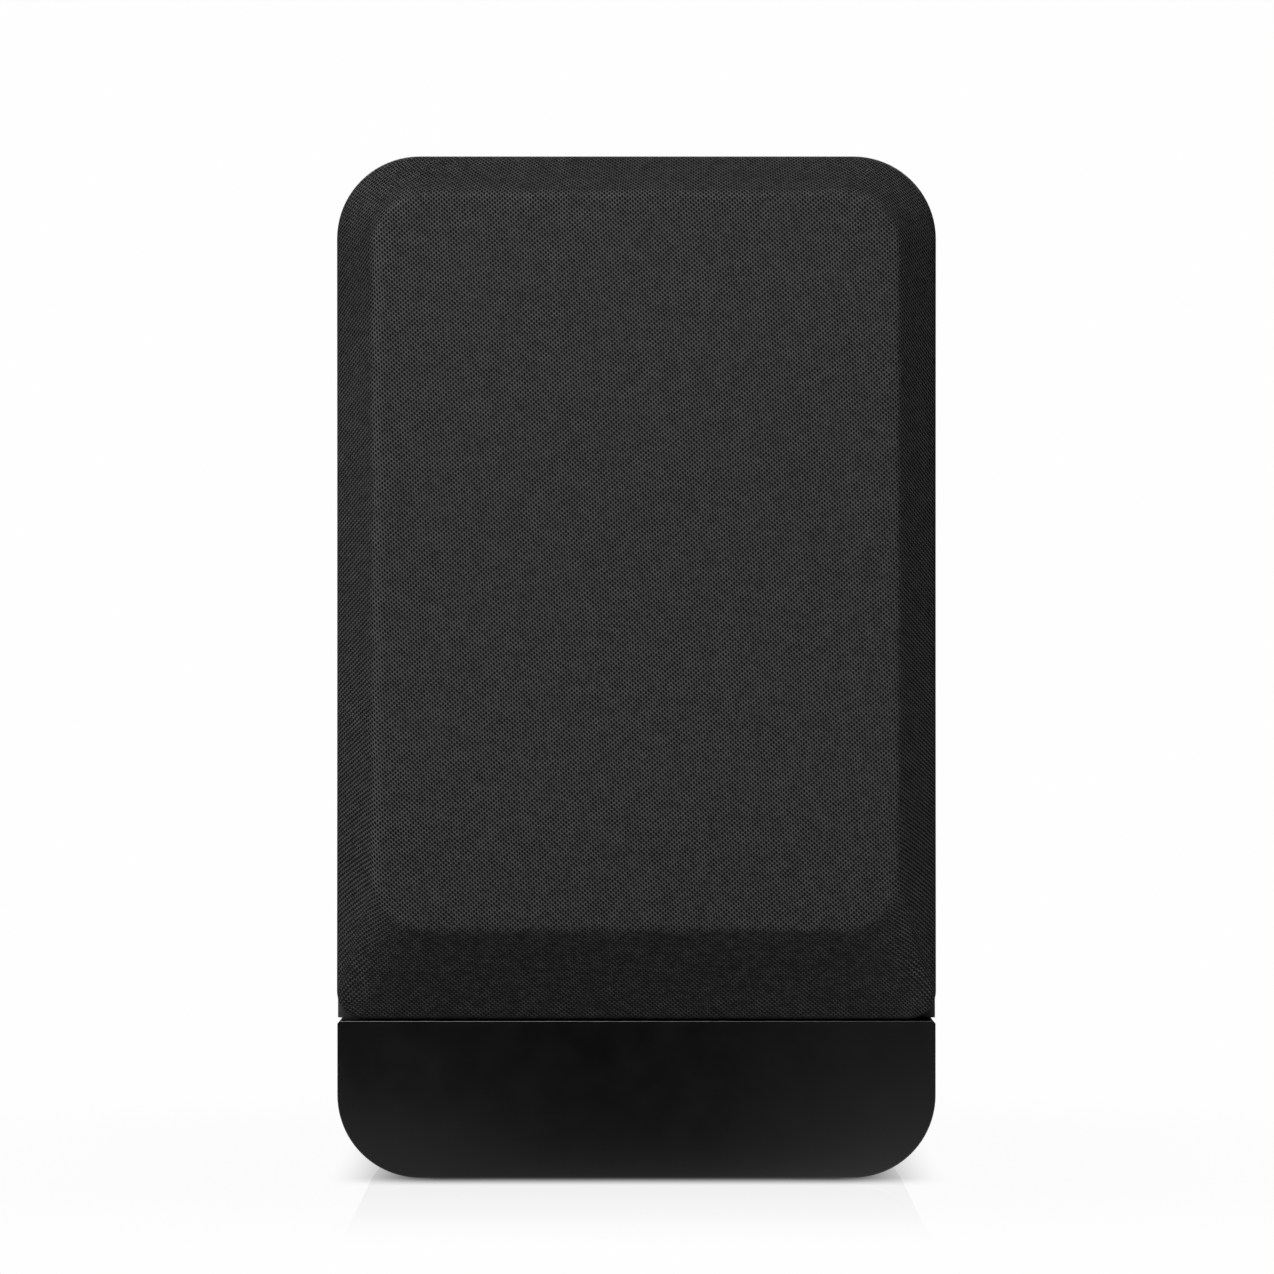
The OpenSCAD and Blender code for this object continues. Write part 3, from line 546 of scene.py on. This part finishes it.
def ferrite_material(name):
    s = Shade(name, (0.05, 0.05, 0.052), 0.55, Specular_IOR_Level=0.6)
    s.color(s.mix(s.span(s.cells(0.6), 0.2, 0.8, 0, 1), (0.03, 0.03, 0.032), (0.075, 0.075, 0.078)))
    s.rough(s.span(s.noise(2.5, 4.0), 0.3, 0.7, 0.42, 0.7))
    s.bump(s.noise(0.7, 4.0), 0.05)
    return s.m


def board_material(name):
    """Green circuit board: lacquered tracks, tinned pads, glass weave below."""
    s = Shade(name, (0.01, 0.09, 0.04), 0.35, Coat_Weight=0.4, Coat_Roughness=0.15)
    p = s.vec("SCALE", s.co, 1000.0)
    bricks = s.new("ShaderNodeTexBrick")
    s.put(bricks.inputs["Vector"], s.vec("MULTIPLY", p, (1.0, 1.0, 0.0)))
    bricks.inputs["Scale"].default_value = 0.045
    bricks.inputs["Mortar Size"].default_value = 0.05
    bricks.inputs["Mortar Smooth"].default_value = 0.1
    track = bricks.outputs["Fac"]
    weave = s.math("MULTIPLY", s.math("SINE", s.math("MULTIPLY", s.split(p)[0], 5.2)), s.math("SINE", s.math("MULTIPLY", s.split(p)[1], 5.2)))
    green = s.mix(s.span(weave, -1, 1, 0, 1), (0.006, 0.062, 0.026), (0.012, 0.1, 0.042))
    s.color(s.mix(track, (0.03, 0.16, 0.06), green))
    s.bump(track, 0.04)
    return s.m


def ceramic(name):
    s = Shade(name, (0.72, 0.69, 0.62), 0.72)
    s.mottle((0.72, 0.69, 0.62), 0.12, 2.5, 5.0)
    s.bump(s.noise(0.9, 5.0, 0.65), 0.09)
    return s.m


def film_material(name):
    s = Shade(name, (0.62, 0.55, 0.36), 0.3, Coat_Weight=0.3, Coat_Roughness=0.12)
    turns = s.noise(0.4, 2.0, 0.5, co=s.join(s.axial(1), 0.0, 0.0))
    s.color(s.mix(s.span(turns, 0.3, 0.7, 0, 1), (0.56, 0.49, 0.31), (0.68, 0.61, 0.42)))
    s.bump(s.noise(3.0, 3.0), 0.06)
    return s.m


M = {
    "cabinet": satin_lacquer("cabinet_satin", (0.020, 0.020, 0.0205), 0.40),
    # The shell's front rim has a lighter foot: painted light in the shaded corners behind the grille.
    "shell": satin_lacquer("cabinet_satin_painted_light_rim", (0.020, 0.020, 0.0205), 0.40, rim=(0.10, 0.10, 0.101)),
    "baffle": satin_lacquer("baffle_satin", (0.018, 0.018, 0.0185), 0.46),
    "base": satin_lacquer("base_satin", (0.018, 0.018, 0.0185), 0.40),
    "panel": satin_lacquer("front_panel_satin", (0.0045, 0.0045, 0.0047), 0.22, peel=0.003, specular=0.9),
    "board": fibreboard("raw_fibreboard", (0.46, 0.33, 0.2)),
    "grille_board": fibreboard("stained_fibreboard", (0.018, 0.018, 0.018), dark=True),
    "foam": foam_material("egg_crate_foam"),
    "gasket": rubber("gasket_rubber", (0.05, 0.05, 0.05), 0.7),
    "seal": rubber("driver_seal", (0.02, 0.02, 0.02), 0.75),
    "feet": rubber("foot_rubber", (0.02, 0.02, 0.02), 0.68, 0.03),
    "surround": rubber("surround_rubber", (0.014, 0.014, 0.0142), 0.52, 0.006),
    "bolt": plated("bolt_zinc", (0.3, 0.3, 0.31), 0.38),
    "black_screw": plated("black_oxide", (0.03, 0.03, 0.031), 0.42, 0.6),
    "bright_screw": plated("bright_zinc", (0.6, 0.6, 0.61), 0.28),
    "moulded": moulded("moulded_black", (0.018, 0.018, 0.0185)),
    "port": moulded("port_plastic", (0.018, 0.018, 0.0185), 0.42, 0.012),
    "red": moulded("moulded_red", (0.42, 0.012, 0.010), 0.34, 0.008),
    "black_cap": moulded("moulded_cap", (0.016, 0.016, 0.0165), 0.34, 0.008),
    "gold_a": turned_metal("gold_plate_positive", (0.83, 0.58, 0.24), 0.24, POST_X, POST_Z),
    "gold_b": turned_metal("gold_plate_negative", (0.83, 0.58, 0.24), 0.24, -POST_X, POST_Z),
    "gold": plated("gold_plate_posts", (0.83, 0.58, 0.24), 0.22),
    "brass": plated("insert_brass", (0.72, 0.5, 0.2), 0.32),
    "basket": moulded("basket_powder_coat", (0.02, 0.02, 0.021), 0.5, 0.05, 0.8),
    "cone": paper("cone_pulp", (0.026, 0.026, 0.027), 0.66, 0.06),
    "cap": paper("dust_cap_pulp", (0.018, 0.018, 0.019), 0.5, 0.03),
    "coil_w": winding("woofer_winding", 1, 0.0, 0.0, WOOFER_Z, 0.3),
    "coil_t": winding("tweeter_winding", 1, 0.0, 0.0, TWEETER_Z, 0.16),
    "spider": cloth_weave("spider_cloth", (0.5, 0.33, 0.1), 0.7, 0.6, 0.15),
    "steel_w": turned_metal("woofer_plated_steel", (0.56, 0.56, 0.55), 0.36, 0.0, WOOFER_Z),
    "steel_t": turned_metal("tweeter_plated_steel", (0.56, 0.56, 0.55), 0.36, 0.0, TWEETER_Z),
    "keeper": plated("keeper_steel", (0.5, 0.5, 0.51), 0.34),
    "ferrite": ferrite_material("ferrite_ring"),
    "tag": paper("laminated_paper_board", (0.3, 0.15, 0.055), 0.6, 0.03),
    "faceplate": moulded("faceplate_satin", (0.017, 0.017, 0.0175), 0.40, 0.010, 0.5),
    "dome": cloth_weave("coated_silk", (0.022, 0.022, 0.024), 0.34, 0.7, 0.55, depth=0.02),
    "pcb": board_material("green_board"),
    "film": film_material("film_wrap"),
    "cement": ceramic("white_cement"),
    "nylon": moulded("natural_nylon", (0.68, 0.67, 0.61), 0.5, 0.01),
    "lead_red": rubber("red_insulation", (0.3, 0.012, 0.01), 0.45, 0.004),
    "lead_black": rubber("black_insulation", (0.02, 0.02, 0.02), 0.45, 0.004),
    "nickel": plated("magnet_nickel", (0.66, 0.65, 0.62), 0.16),
    "knit": knit("black_knit"),
}


# ---------------------------------------------------------------- grille cloth

def contour(half_w, z0, z1, rt, rb, arc=20, across=24, up=36):
    """Points and outward normals of an upright rounded rectangle, in a fixed order of angle."""
    pts, nrm = [], []

    def side(p, q, n, count):
        for i in range(count):
            t = i / count
            pts.append((p[0] + (q[0] - p[0]) * t, p[1] + (q[1] - p[1]) * t))
            nrm.append(n)

    def turn(cx, cz, r, start):
        for i in range(arc):
            a = math.radians(start + 90.0 * i / arc)
            pts.append((cx + r * math.cos(a), cz + r * math.sin(a)))
            nrm.append((math.cos(a), math.sin(a)))

    side((-half_w + rb, z0), (half_w - rb, z0), (0.0, -1.0), across)
    turn(half_w - rb, z0 + rb, rb, -90)
    side((half_w, z0 + rb), (half_w, z1 - rt), (1.0, 0.0), up)
    turn(half_w - rt, z1 - rt, rt, 0)
    side((half_w - rt, z1), (-half_w + rt, z1), (0.0, 1.0), across)
    turn(-half_w + rt, z1 - rt, rt, 90)
    side((-half_w, z1 - rt), (-half_w, z0 + rb), (-1.0, 0.0), up)
    turn(-half_w + rb, z0 + rb, rb, 180)
    return np.array(pts), np.array(nrm)


def grille_cloth():
    """Stretched cloth: flat centre, rolled edges, bevels, side band and the hem turned in behind the frame."""
    inner, normal = contour(PLATEAU_X, PLATEAU_Z0, PLATEAU_Z1, PLATEAU_R, PLATEAU_R)
    outer, _ = contour(HALF_W, CAB_Z, TOP, CORNER_R, FOOT_R)
    count = len(inner)
    gap = outer - inner
    reach = np.einsum("ij,ij->i", gap, normal)               # width of the bevel, square to the plateau's edge
    roll, lip = 1.3, 1.7
    rear = BACK + 0.34                                       # outer face of the hem
    rings = []                                               # each ring is (points xz, y, distance out, path length)

    def bezier(p0, p1, p2, steps, skip_first=False):
        for k in range(1 if skip_first else 0, steps + 1):
            t = k / steps
            yield tuple((1 - t) ** 2 * a + 2 * t * (1 - t) * b + t * t * c for a, b, c in zip(p0, p1, p2))

    y_in = np.full(count, FRONT)
    y_out = np.full(count, EDGE)
    # The middle of the cloth, with wide loops that stay in its plane.
    for inset in (17.0, 8.0, 4.0):
        rings.append((inner - normal * inset, y_in.copy()))
    # Rolled edge of the raised centre.
    a0 = (inner - normal * roll, y_in)
    share = (roll / reach)[:, None]
    a2 = (inner + gap * share, FRONT + (EDGE - FRONT) * share[:, 0])
    rings += list(bezier(a0, (inner, y_in), a2, 6))
    # Bevel.
    share_out = (1 - lip / reach)[:, None]
    for k in range(1, 6):
        t = share + (share_out - share) * (k / 6)
        rings.append((inner + gap * t, FRONT + (EDGE - FRONT) * t[:, 0]))
    # Rolled outer edge, then the band round the sides.
    b0 = (inner + gap * share_out, FRONT + (EDGE - FRONT) * share_out[:, 0])
    b2 = (outer, y_out + lip)
    rings += list(bezier(b0, (outer, y_out), b2, 5))
    for t in (0.5, 0.85):
        rings.append((outer, y_out + lip + (rear - 0.5 - EDGE - lip) * t))
    out_n = _normals(outer)
    c1 = (outer, np.full(count, rear))
    rings += list(bezier((outer, np.full(count, rear - 0.5)), c1, (outer - out_n * 0.5, np.full(count, rear)), 3))
    for back in (3.0, 6.0, 8.5):
        rings.append((outer - out_n * back, np.full(count, rear)))

    # The long sides pull in by a hair at mid-height.
    zs = (outer[:, 1] - CAB_Z) / (TOP - CAB_Z)
    verts, uvs = [], []
    path = np.zeros(count)
    previous = None
    for xz, y in rings:
        xz = np.array(xz, float).copy()
        y = np.array(y, float)
        q = np.einsum("ij,ij->i", xz - inner, normal)
        if previous is not None:
            dq = q - previous[0]
            step = np.hypot(dq, y - previous[1])
            path = np.where((q > 0) | (y > FRONT + 1e-6), path + step, q)
        else:
            path = q.copy()
        previous = (q, y)
        end_s = np.where(normal[:, 1] > 0, 1.06, 1.0)
        s = normal[:, 0] ** 2 * 0.92 + normal[:, 1] ** 2 * end_s
        out = np.maximum(path, 0)
        foot = np.clip((xz[:, 1] - CAB_Z - 6) / 50, 0, 1) ** 0.7
        along = np.where(path > 0, path * s, path)
        uv = xz + normal * (along - q)[:, None]
        # Pulled over the edges, the rows on the side bands lean towards mid-height, and the ribs on the top lean too.
        uv[:, 1] += normal[:, 0] ** 2 * 0.4 * (2 * np.clip(zs, 0, 1) - 1) * np.minimum(out, 21) * foot
        uv[:, 0] += np.where(normal[:, 1] > 0, normal[:, 1] ** 2, 0) * (0.24 * xz[:, 0] / HALF_W - 0.12) * out
        waist = 0.1 * np.sin(np.pi * np.clip(zs, 0, 1)) * np.clip((np.abs(xz[:, 0]) - PLATEAU_X + 2) / 14, 0, 1)
        xz[:, 0] -= np.sign(xz[:, 0]) * waist
        verts += [(xz[i, 0], y[i], xz[i, 1]) for i in range(count)]
        uvs += [tuple(u * MM) for u in uv]
    faces = [tuple(range(count))]
    loops = len(rings)
    for k in range(loops - 1):
        for i in range(count):
            j = (i + 1) % count
            faces.append((k * count + i, (k + 1) * count + i, (k + 1) * count + j, k * count + j))
    me = bpy.data.meshes.new("grille_cloth_knit")
    me.from_pydata([tuple(c * MM for c in v) for v in verts], [], faces)
    layer = me.uv_layers.new(name="cloth")
    index = np.zeros(len(me.loops), np.int32)
    me.loops.foreach_get("vertex_index", index)
    layer.data.foreach_set("uv", np.array(uvs)[index].astype(np.float32).ravel())
    bm = bmesh.new()
    bm.from_mesh(me)
    bmesh.ops.recalc_face_normals(bm, faces=bm.faces)
    if sum(f.normal.y for f in bm.faces if f.normal.y < -0.99) > -1:
        bmesh.ops.reverse_faces(bm, faces=bm.faces)
    bm.to_mesh(me)
    bm.free()
    ob = shown("grille_cloth_knit", me, M["knit"], smooth=60)
    solid = ob.modifiers.new("thickness", "SOLIDIFY")
    solid.thickness = 0.3 * MM
    solid.offset = -1
    solid.use_even_offset = False
    bpy.context.view_layer.objects.active = ob
    ob.select_set(True)
    bpy.ops.object.modifier_apply(modifier="thickness")
    ob.select_set(False)
    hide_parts("grille_cloth")
    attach(ob, "grille")
    return ob


def _normals(points):
    """Outward normals of a closed outline that runs anticlockwise."""
    ahead = np.roll(points, -1, 0) - points
    behind = points - np.roll(points, 1, 0)
    t = ahead / np.linalg.norm(ahead, axis=1)[:, None] + behind / np.linalg.norm(behind, axis=1)[:, None]
    t /= np.linalg.norm(t, axis=1)[:, None]
    return np.stack([t[:, 1], -t[:, 0]], 1)


# ---------------------------------------------------------------- soft rings that move with the drivers

def half_roll(lip0, r0, r1, lip1, a, t, n=28):
    """The same half roll as the CAD solid, with softened feet."""
    c, big = (r0 + r1) / 2, (r1 - r0) / 2
    s = math.asin(t / big)
    top = [(c + big * math.cos(x), a + big * math.sin(x)) for x in np.linspace(-s, -math.pi + s, n)]
    low = [(c + (big - t) * math.cos(x), a + (big - t) * math.sin(x)) for x in np.linspace(-math.pi, 0, n)]
    return [(lip1, a - t), ((lip1 + r1) / 2, a - t)] + top + [(lip0 + 0.6, a - t), (lip0, a - t * 0.6), (lip0, a)] + low + [((lip1 + r1) / 2, a), (lip1, a)]


def soft_rings():
    rubber_ring = [(r, CAB + d) for r, d in half_roll(53.5, 57, 69, 75.2, 2.35, 0.9)]
    ob = lathe("woofer_surround_roll", rubber_ring, WOOFER_Z, M["surround"], 144, 50)
    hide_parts("woofer_surround")
    radial_blend(ob, "woofer_diaphragm", WOOFER_Z, 57.0, 69.0)

    ring = [(r, CAB + d) for r, d in half_roll(12.25, 13, 15.8, 18.7, 9.85, 0.3, 16)]
    ob = lathe("tweeter_surround_roll", ring, TWEETER_Z, M["dome"], 112, 50)
    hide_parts("tweeter_surround")
    radial_blend(ob, "tweeter_diaphragm", TWEETER_Z, 13.0, 15.8)

    radii = np.concatenate([[16.3, 17.5], np.linspace(19, 45.6, 105), [47.5, 49.4]])

    def wave(r):
        if r <= 19 or r >= 45.6:
            return 0.0
        fade = min(1.0, (r - 19) / 1.6, (45.6 - r) / 1.6)
        return -1.3 * fade * math.cos(math.pi * (r - 20) / 2)

    a, t = CAB + 39.68, 0.27
    front = [(r, a - t + wave(r)) for r in radii]
    back = [(r, a + t + wave(r)) for r in radii[::-1]]
    ob = lathe("woofer_spider_cloth", front + back, WOOFER_Z, M["spider"], 120, 50)
    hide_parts("woofer_spider")
    radial_blend(ob, "woofer_diaphragm", WOOFER_Z, 19.0, 45.6)


# ---------------------------------------------------------------- foam

def islands(node):
    """The boxes, in mm, of the separate solids in a CAD node."""
    bm = bmesh.new()
    bm.from_mesh(NODE[node].data)
    bmesh.ops.remove_doubles(bm, verts=bm.verts, dist=2e-6)
    left, found = set(bm.verts), []
    while left:
        todo, seen = [left.pop()], []
        while todo:
            v = todo.pop()
            seen.append(v.co / MM)
            for e in v.link_edges:
                w = e.other_vert(v)
                if w in left:
                    left.remove(w)
                    todo.append(w)
        co = np.array([list(c) for c in seen])
        found.append((co.min(0), co.max(0)))
    bm.free()
    return sorted(found, key=lambda b: tuple(np.round(b[0], 2)))


def egg_crate(name, lo, hi):
    """A foam pad in the box lo to hi, flat on the wall side and egg-crated towards the middle of the cabinet."""
    size = hi - lo
    thin = int(np.argmin(size))
    u, v = [i for i in range(3) if i != thin]
    middle = np.array([0.0, 0.0, (CAB_Z + TOP) / 2])
    towards = 1 if middle[thin] > (lo[thin] + hi[thin]) / 2 else -1
    wall = lo[thin] if towards > 0 else hi[thin]
    full = size[thin]
    nu, nv = [max(8, int(size[i] / 2.4)) for i in (u, v)]
    pitch = [size[i] / max(2, round(size[i] / 27.0)) for i in (u, v)]
    verts, faces = [], []
    for j in range(nv + 1):
        for i in range(nu + 1):
            x, y = size[u] * i / nu, size[v] * j / nv
            crest = 0.5 + 0.5 * math.sin(TAU * x / pitch[0]) * math.sin(TAU * y / pitch[1])
            edge = min(x, size[u] - x, y, size[v] - y)
            round_off = math.sqrt(max(0.0, 1 - max(0.0, 1 - edge / 4.0) ** 2))
            height = (full * 0.42 + full * 0.56 * crest) * (0.72 + 0.28 * round_off)
            p = [0, 0, 0]
            p[u], p[v], p[thin] = lo[u] + x, lo[v] + y, wall + towards * height
            verts.append(tuple(p))
    top = lambda i, j: j * (nu + 1) + i
    base = len(verts)
    for j in range(nv + 1):
        for i in range(nu + 1):
            p = list(verts[top(i, j)])
            p[thin] = wall
            verts.append(tuple(p))
    for j in range(nv):
        for i in range(nu):
            q = (top(i, j), top(i + 1, j), top(i + 1, j + 1), top(i, j + 1))
            faces += [q, tuple(base + k for k in reversed(q))]
    rim = [top(i, 0) for i in range(nu)] + [top(nu, j) for j in range(nv)] + [top(i, nv) for i in range(nu, 0, -1)] + [top(0, j) for j in range(nv, 0, -1)]
    for a, b in zip(rim, rim[1:] + rim[:1]):
        faces.append((b, a, base + a, base + b))
    ob = shown(name, mesh_of(name, verts, faces), M["foam"], "root", ("damping_foam",), smooth=65)
    return ob


# ---------------------------------------------------------------- pieces

def pads():
    for k, (lo, hi) in enumerate(islands("damping_foam")):
        egg_crate("foam_pad_%d" % (k + 1), lo, hi)


def hard_pieces():
    """Every hard node gets softened edges and its own finish; densely turned ones keep their CAD mesh."""
    soft_edges = [
        # node, material, slot, edge width, segments
        ("cabinet_shell", "shell", "cabinet_lacquer", 0.2, 2),
        ("rear_panel", "cabinet", "cabinet_lacquer", 0.4, 2),
        ("base_rear_panel", "cabinet", "cabinet_lacquer", 0.4, 2),
        ("front_baffle", "baffle", "cabinet_lacquer", 0.35, 2),
        ("base_shell", "base", "base_lacquer", 0.4, 2),
        ("base_front_panel", "panel", "front_lacquer", 0.0, 1),
        ("cabinet_floor", "board", "raw_board", 0.3, 1),
        ("base_lid", "base", "base_lacquer", 0.3, 1),
        ("decoupling_gasket", "gasket", "gasket_rubber", 0.15, 2),
        ("woofer_gasket", "seal", "gasket_rubber", 0.2, 2),
        ("tweeter_gasket", "seal", "gasket_rubber", 0.2, 2),
        ("rubber_feet", "feet", "gasket_rubber", 0.5, 3),
        ("base_bolts", "bolt", "bolt_steel", 0.25, 2),
        ("woofer_screws", "black_screw", "black_screw", 0.22, 2),
        ("tweeter_screws", "black_screw", "black_screw", 0.18, 2),
        ("terminal_screws", "black_screw", "black_screw", 0.15, 2),
        ("board_screws", "bright_screw", "bright_screw", 0.15, 2),
        ("post_nuts", "bright_screw", "bright_screw", 0.3, 2),
        ("terminal_cup", "moulded", "moulded_black", 0.5, 2),
        ("post_collars", "moulded", "moulded_black", 0.4, 3),
        ("tweeter_rear_cup", "moulded", "moulded_black", 0.4, 2),
        ("positive_knob", "red", "moulded_red", 0.22, 2),
        ("negative_knob", "black_cap", "moulded_black", 0.22, 2),
        ("post_studs", "gold", "gold_plate", 0.15, 2),
        ("positive_washer", "gold_a", "gold_plate", 0.12, 2),
        ("negative_washer", "gold_b", "gold_plate", 0.12, 2),
        ("positive_core", "gold_a", "gold_plate", 0.15, 2),
        ("negative_core", "gold_b", "gold_plate", 0.15, 2),
        ("bracket_inserts", "brass", "insert_brass", 0.3, 2),
        ("woofer_basket", "basket", "basket_paint", 0.35, 2),
        ("woofer_top_plate", "steel_w", "plated_steel", 0.3, 2),
        ("tweeter_top_plate", "steel_t", "plated_steel", 0.3, 2),
        ("woofer_yoke", "steel_w", "plated_steel", 0.3, 2),
        ("tweeter_yoke", "steel_t", "plated_steel", 0.3, 2),
        ("magnet_keepers", "keeper", "plated_steel", 0.3, 2),
        ("woofer_magnet", "ferrite", "ferrite", 0.5, 2),
        ("tweeter_magnet", "ferrite", "ferrite", 0.5, 2),
        ("woofer_tag_strip", "tag", "tag_board", 0.1, 1),
        ("crossover_board", "pcb", "circuit_board", 0.15, 1),
        ("power_resistors", "cement", "white_ceramic", 0.5, 2),
        ("film_capacitors", "film", "film_wrap", 1.2, 4),
        ("board_spacers", "nylon", "nylon", 0.2, 2),
        ("grille_frame", "grille_board", "grille_board", 0.4, 2),
        ("grille_magnets", "nickel", "magnet_nickel", 0.3, 2),
        ("tweeter_faceplate", "faceplate", "faceplate", 0.2, 2),
    ]
    for node, mat, slot, width, segments in soft_edges:
        refined(node, M[mat], width, segments, trim=1.2 if node in ("base_shell", "base_front_panel") else 0.0)
    for node, mat in (("port_tube", "port"), ("woofer_cone", "cone"), ("woofer_dust_cap", "cap"),
                      ("woofer_voice_coil", "coil_w"), ("tweeter_voice_coil", "coil_t"), ("tweeter_dome", "dome"),
                      ("input_leads", "lead_red"), ("driver_leads", "lead_black")):
        painted(node, M[mat])
    for node, r, pitch in (("woofer_inductor", 22, 1.1), ("tweeter_inductor", 14, 0.8)):
        lo, hi = box_mm(node)
        painted(node, winding(node + "_copper", 2, (lo.x + hi.x) / 2, (lo.y + hi.y) / 2, lo.z, pitch))


# ---------------------------------------------------------------- stage and light

def stage_floor():
    """Pale floor: plain white to the camera, with a tight painted contact shadow and a faint mirror image near the
    object. To other rays it glows with painted light that stands in for light bounced off it.
    """
    me = bpy.data.meshes.new("floor")
    me.from_pydata([(-6, -6, 0), (6, -6, 0), (6, 6, 0), (-6, 6, 0)], [], [(0, 1, 2, 3)])
    floor = bpy.data.objects.new("floor", me)
    SCENE.collection.objects.link(floor)
    m = bpy.data.materials.new("pale_floor")
    m.use_nodes = True
    t = m.node_tree
    t.nodes.clear()
    s = Shade.__new__(Shade)
    s.m, s.t = m, t
    out = s.new("ShaderNodeOutputMaterial")
    co = s.new("ShaderNodeTexCoord").outputs["Object"]
    p = s.split(co)
    dx = s.math("MAXIMUM", s.math("SUBTRACT", s.math("ABSOLUTE", p[0]), HALF_W * MM), 0.0)
    dy = s.math("MAXIMUM", s.math("SUBTRACT", s.math("ABSOLUTE", p[1]), 0.1085), 0.0)
    far = s.math("SQRT", s.math("ADD", s.math("MULTIPLY", dx, dx), s.math("MULTIPLY", dy, dy)))
    # Painted contact shadow: it darkens from the edge of the footprint inwards, and thins where the bottom corners lift
    # off.
    ahead = s.math("SUBTRACT", s.math("MULTIPLY", p[1], -1.0), 0.1085)
    behind = s.math("SUBTRACT", p[1], REAR * MM)
    under = s.span(s.math("MAXIMUM", ahead, behind), -0.023, 0.021, 1.0, 0.0, smooth=True)
    lift = s.span(s.math("ABSOLUTE", p[0]), 0.074, 0.118, 1.0, 0.0, smooth=True)
    tone = s.math("MULTIPLY", s.math("SUBTRACT", 1.0, s.math("MULTIPLY", under, lift)), WHITE)
    seen = s.new("ShaderNodeEmission")
    s.put(seen.inputs["Strength"], tone)
    mirror = s.new("ShaderNodeBsdfGlossy")
    mirror.inputs["Roughness"].default_value = 0.0
    mix = s.new("ShaderNodeMixShader")
    s.put(mix.inputs[0], s.span(far, 0.0, 0.28, MIRROR, 0.0, smooth=True))
    t.links.new(seen.outputs[0], mix.inputs[1])
    t.links.new(mirror.outputs[0], mix.inputs[2])
    # To every other ray the floor glows: painted light that stands in for light bounced off the floor.
    lit = s.new("ShaderNodeEmission")
    glow = 0.0
    for name, gain, start, reach, side in FLOOR_GLOW:
        term = s.math("POWER", s.math("SUBTRACT", 1.0, s.span(far, 0.0, reach, 0.0, 1.0)), 2.0)
        if start:
            term = s.math("MULTIPLY", term, s.span(far, 0.0, start, 0.0, 1.0, smooth=True))
        if side:
            term = s.math("MULTIPLY", term, s.span(s.math("MULTIPLY", p[0], side), 0.01, 0.14, 0.0, 1.0, smooth=True))
        term = s.math("MULTIPLY", term, gain)
        term.node.name = name
        glow = s.math("ADD", term, glow)
    s.put(lit.inputs["Strength"], glow)
    path = s.new("ShaderNodeLightPath")
    final = s.new("ShaderNodeMixShader")
    t.links.new(path.outputs["Is Camera Ray"], final.inputs[0])
    t.links.new(lit.outputs[0], final.inputs[1])
    t.links.new(mix.outputs[0], final.inputs[2])
    t.links.new(final.outputs[0], out.inputs["Surface"])
    me.materials.append(m)
    return floor


def world():
    w = bpy.data.worlds.new("studio")
    SCENE.world = w
    w.use_nodes = True
    t = w.node_tree
    t.nodes.clear()
    out = t.nodes.new("ShaderNodeOutputWorld")
    path = t.nodes.new("ShaderNodeLightPath")
    white = t.nodes.new("ShaderNodeBackground")
    white.inputs["Color"].default_value = (1, 1, 1, 1)
    white.inputs["Strength"].default_value = WHITE
    dim = t.nodes.new("ShaderNodeBackground")
    dim.name = "world_dim"
    dim.inputs["Color"].default_value = (1, 1, 1, 1)
    dim.inputs["Strength"].default_value = WORLD_DIM
    either = t.nodes.new("ShaderNodeMath")
    either.operation = "MAXIMUM"
    t.links.new(path.outputs["Is Camera Ray"], either.inputs[0])
    t.links.new(path.outputs["Is Singular Ray"], either.inputs[1])
    mix = t.nodes.new("ShaderNodeMixShader")
    t.links.new(either.outputs[0], mix.inputs[0])
    t.links.new(dim.outputs[0], mix.inputs[1])
    t.links.new(white.outputs[0], mix.inputs[2])
    t.links.new(mix.outputs[0], out.inputs["Surface"])


def area(name, place, size, power, aim=(0, -0.08, 0.2), shape="DISK"):
    data = bpy.data.lights.new(name, "AREA")
    data.shape = shape
    data.size = size
    data.energy = power
    ob = bpy.data.objects.new(name, data)
    SCENE.collection.objects.link(ob)
    ob.location = place
    ob.rotation_euler = (Vector(aim) - Vector(place)).to_track_quat("-Z", "Y").to_euler()
    ob.visible_camera = False
    return ob


WHITE = 0.991
WORLD_DIM = 0.0
MIRROR = 0.12
FLOOR_GLOW = [
    # name, strength, reach from the footprint in metres, side that it leans to
    ("glow_near", 0.2, 0.0, 0.2, 0),
    ("glow_mid", 0.11, 0.0, 0.7, 0),
    ("glow_right_wide", 0.32, 0.0, 2.0, 1),
    ("glow_left", 0.45, 0.15, 0.7, -1),
]

LIGHTS = [
    # name, place, size, power
    ("key_left", (-1.8, -1.5, 0.85), 0.9, 11.4),
    ("front_high", (-0.25, -1.2, 1.2), 0.7, 8.6),
    ("front_mid", (0.05, -1.2, 1.2), 0.7, 2.2),
    ("front_low", (-0.5, -3.0, 0.9), 1.2, 1.2),
    ("back_left", (-0.9, 2.0, 1.95), 1.3, 16),
    ("back_right", (1.0, 2.1, 1.85), 1.3, 14),
]

hard_pieces()
grille_cloth()
soft_rings()
pads()
stage_floor()
world()
for name, place, size, power in LIGHTS:
    area(name, place, size, power)

bpy.context.view_layer.update()
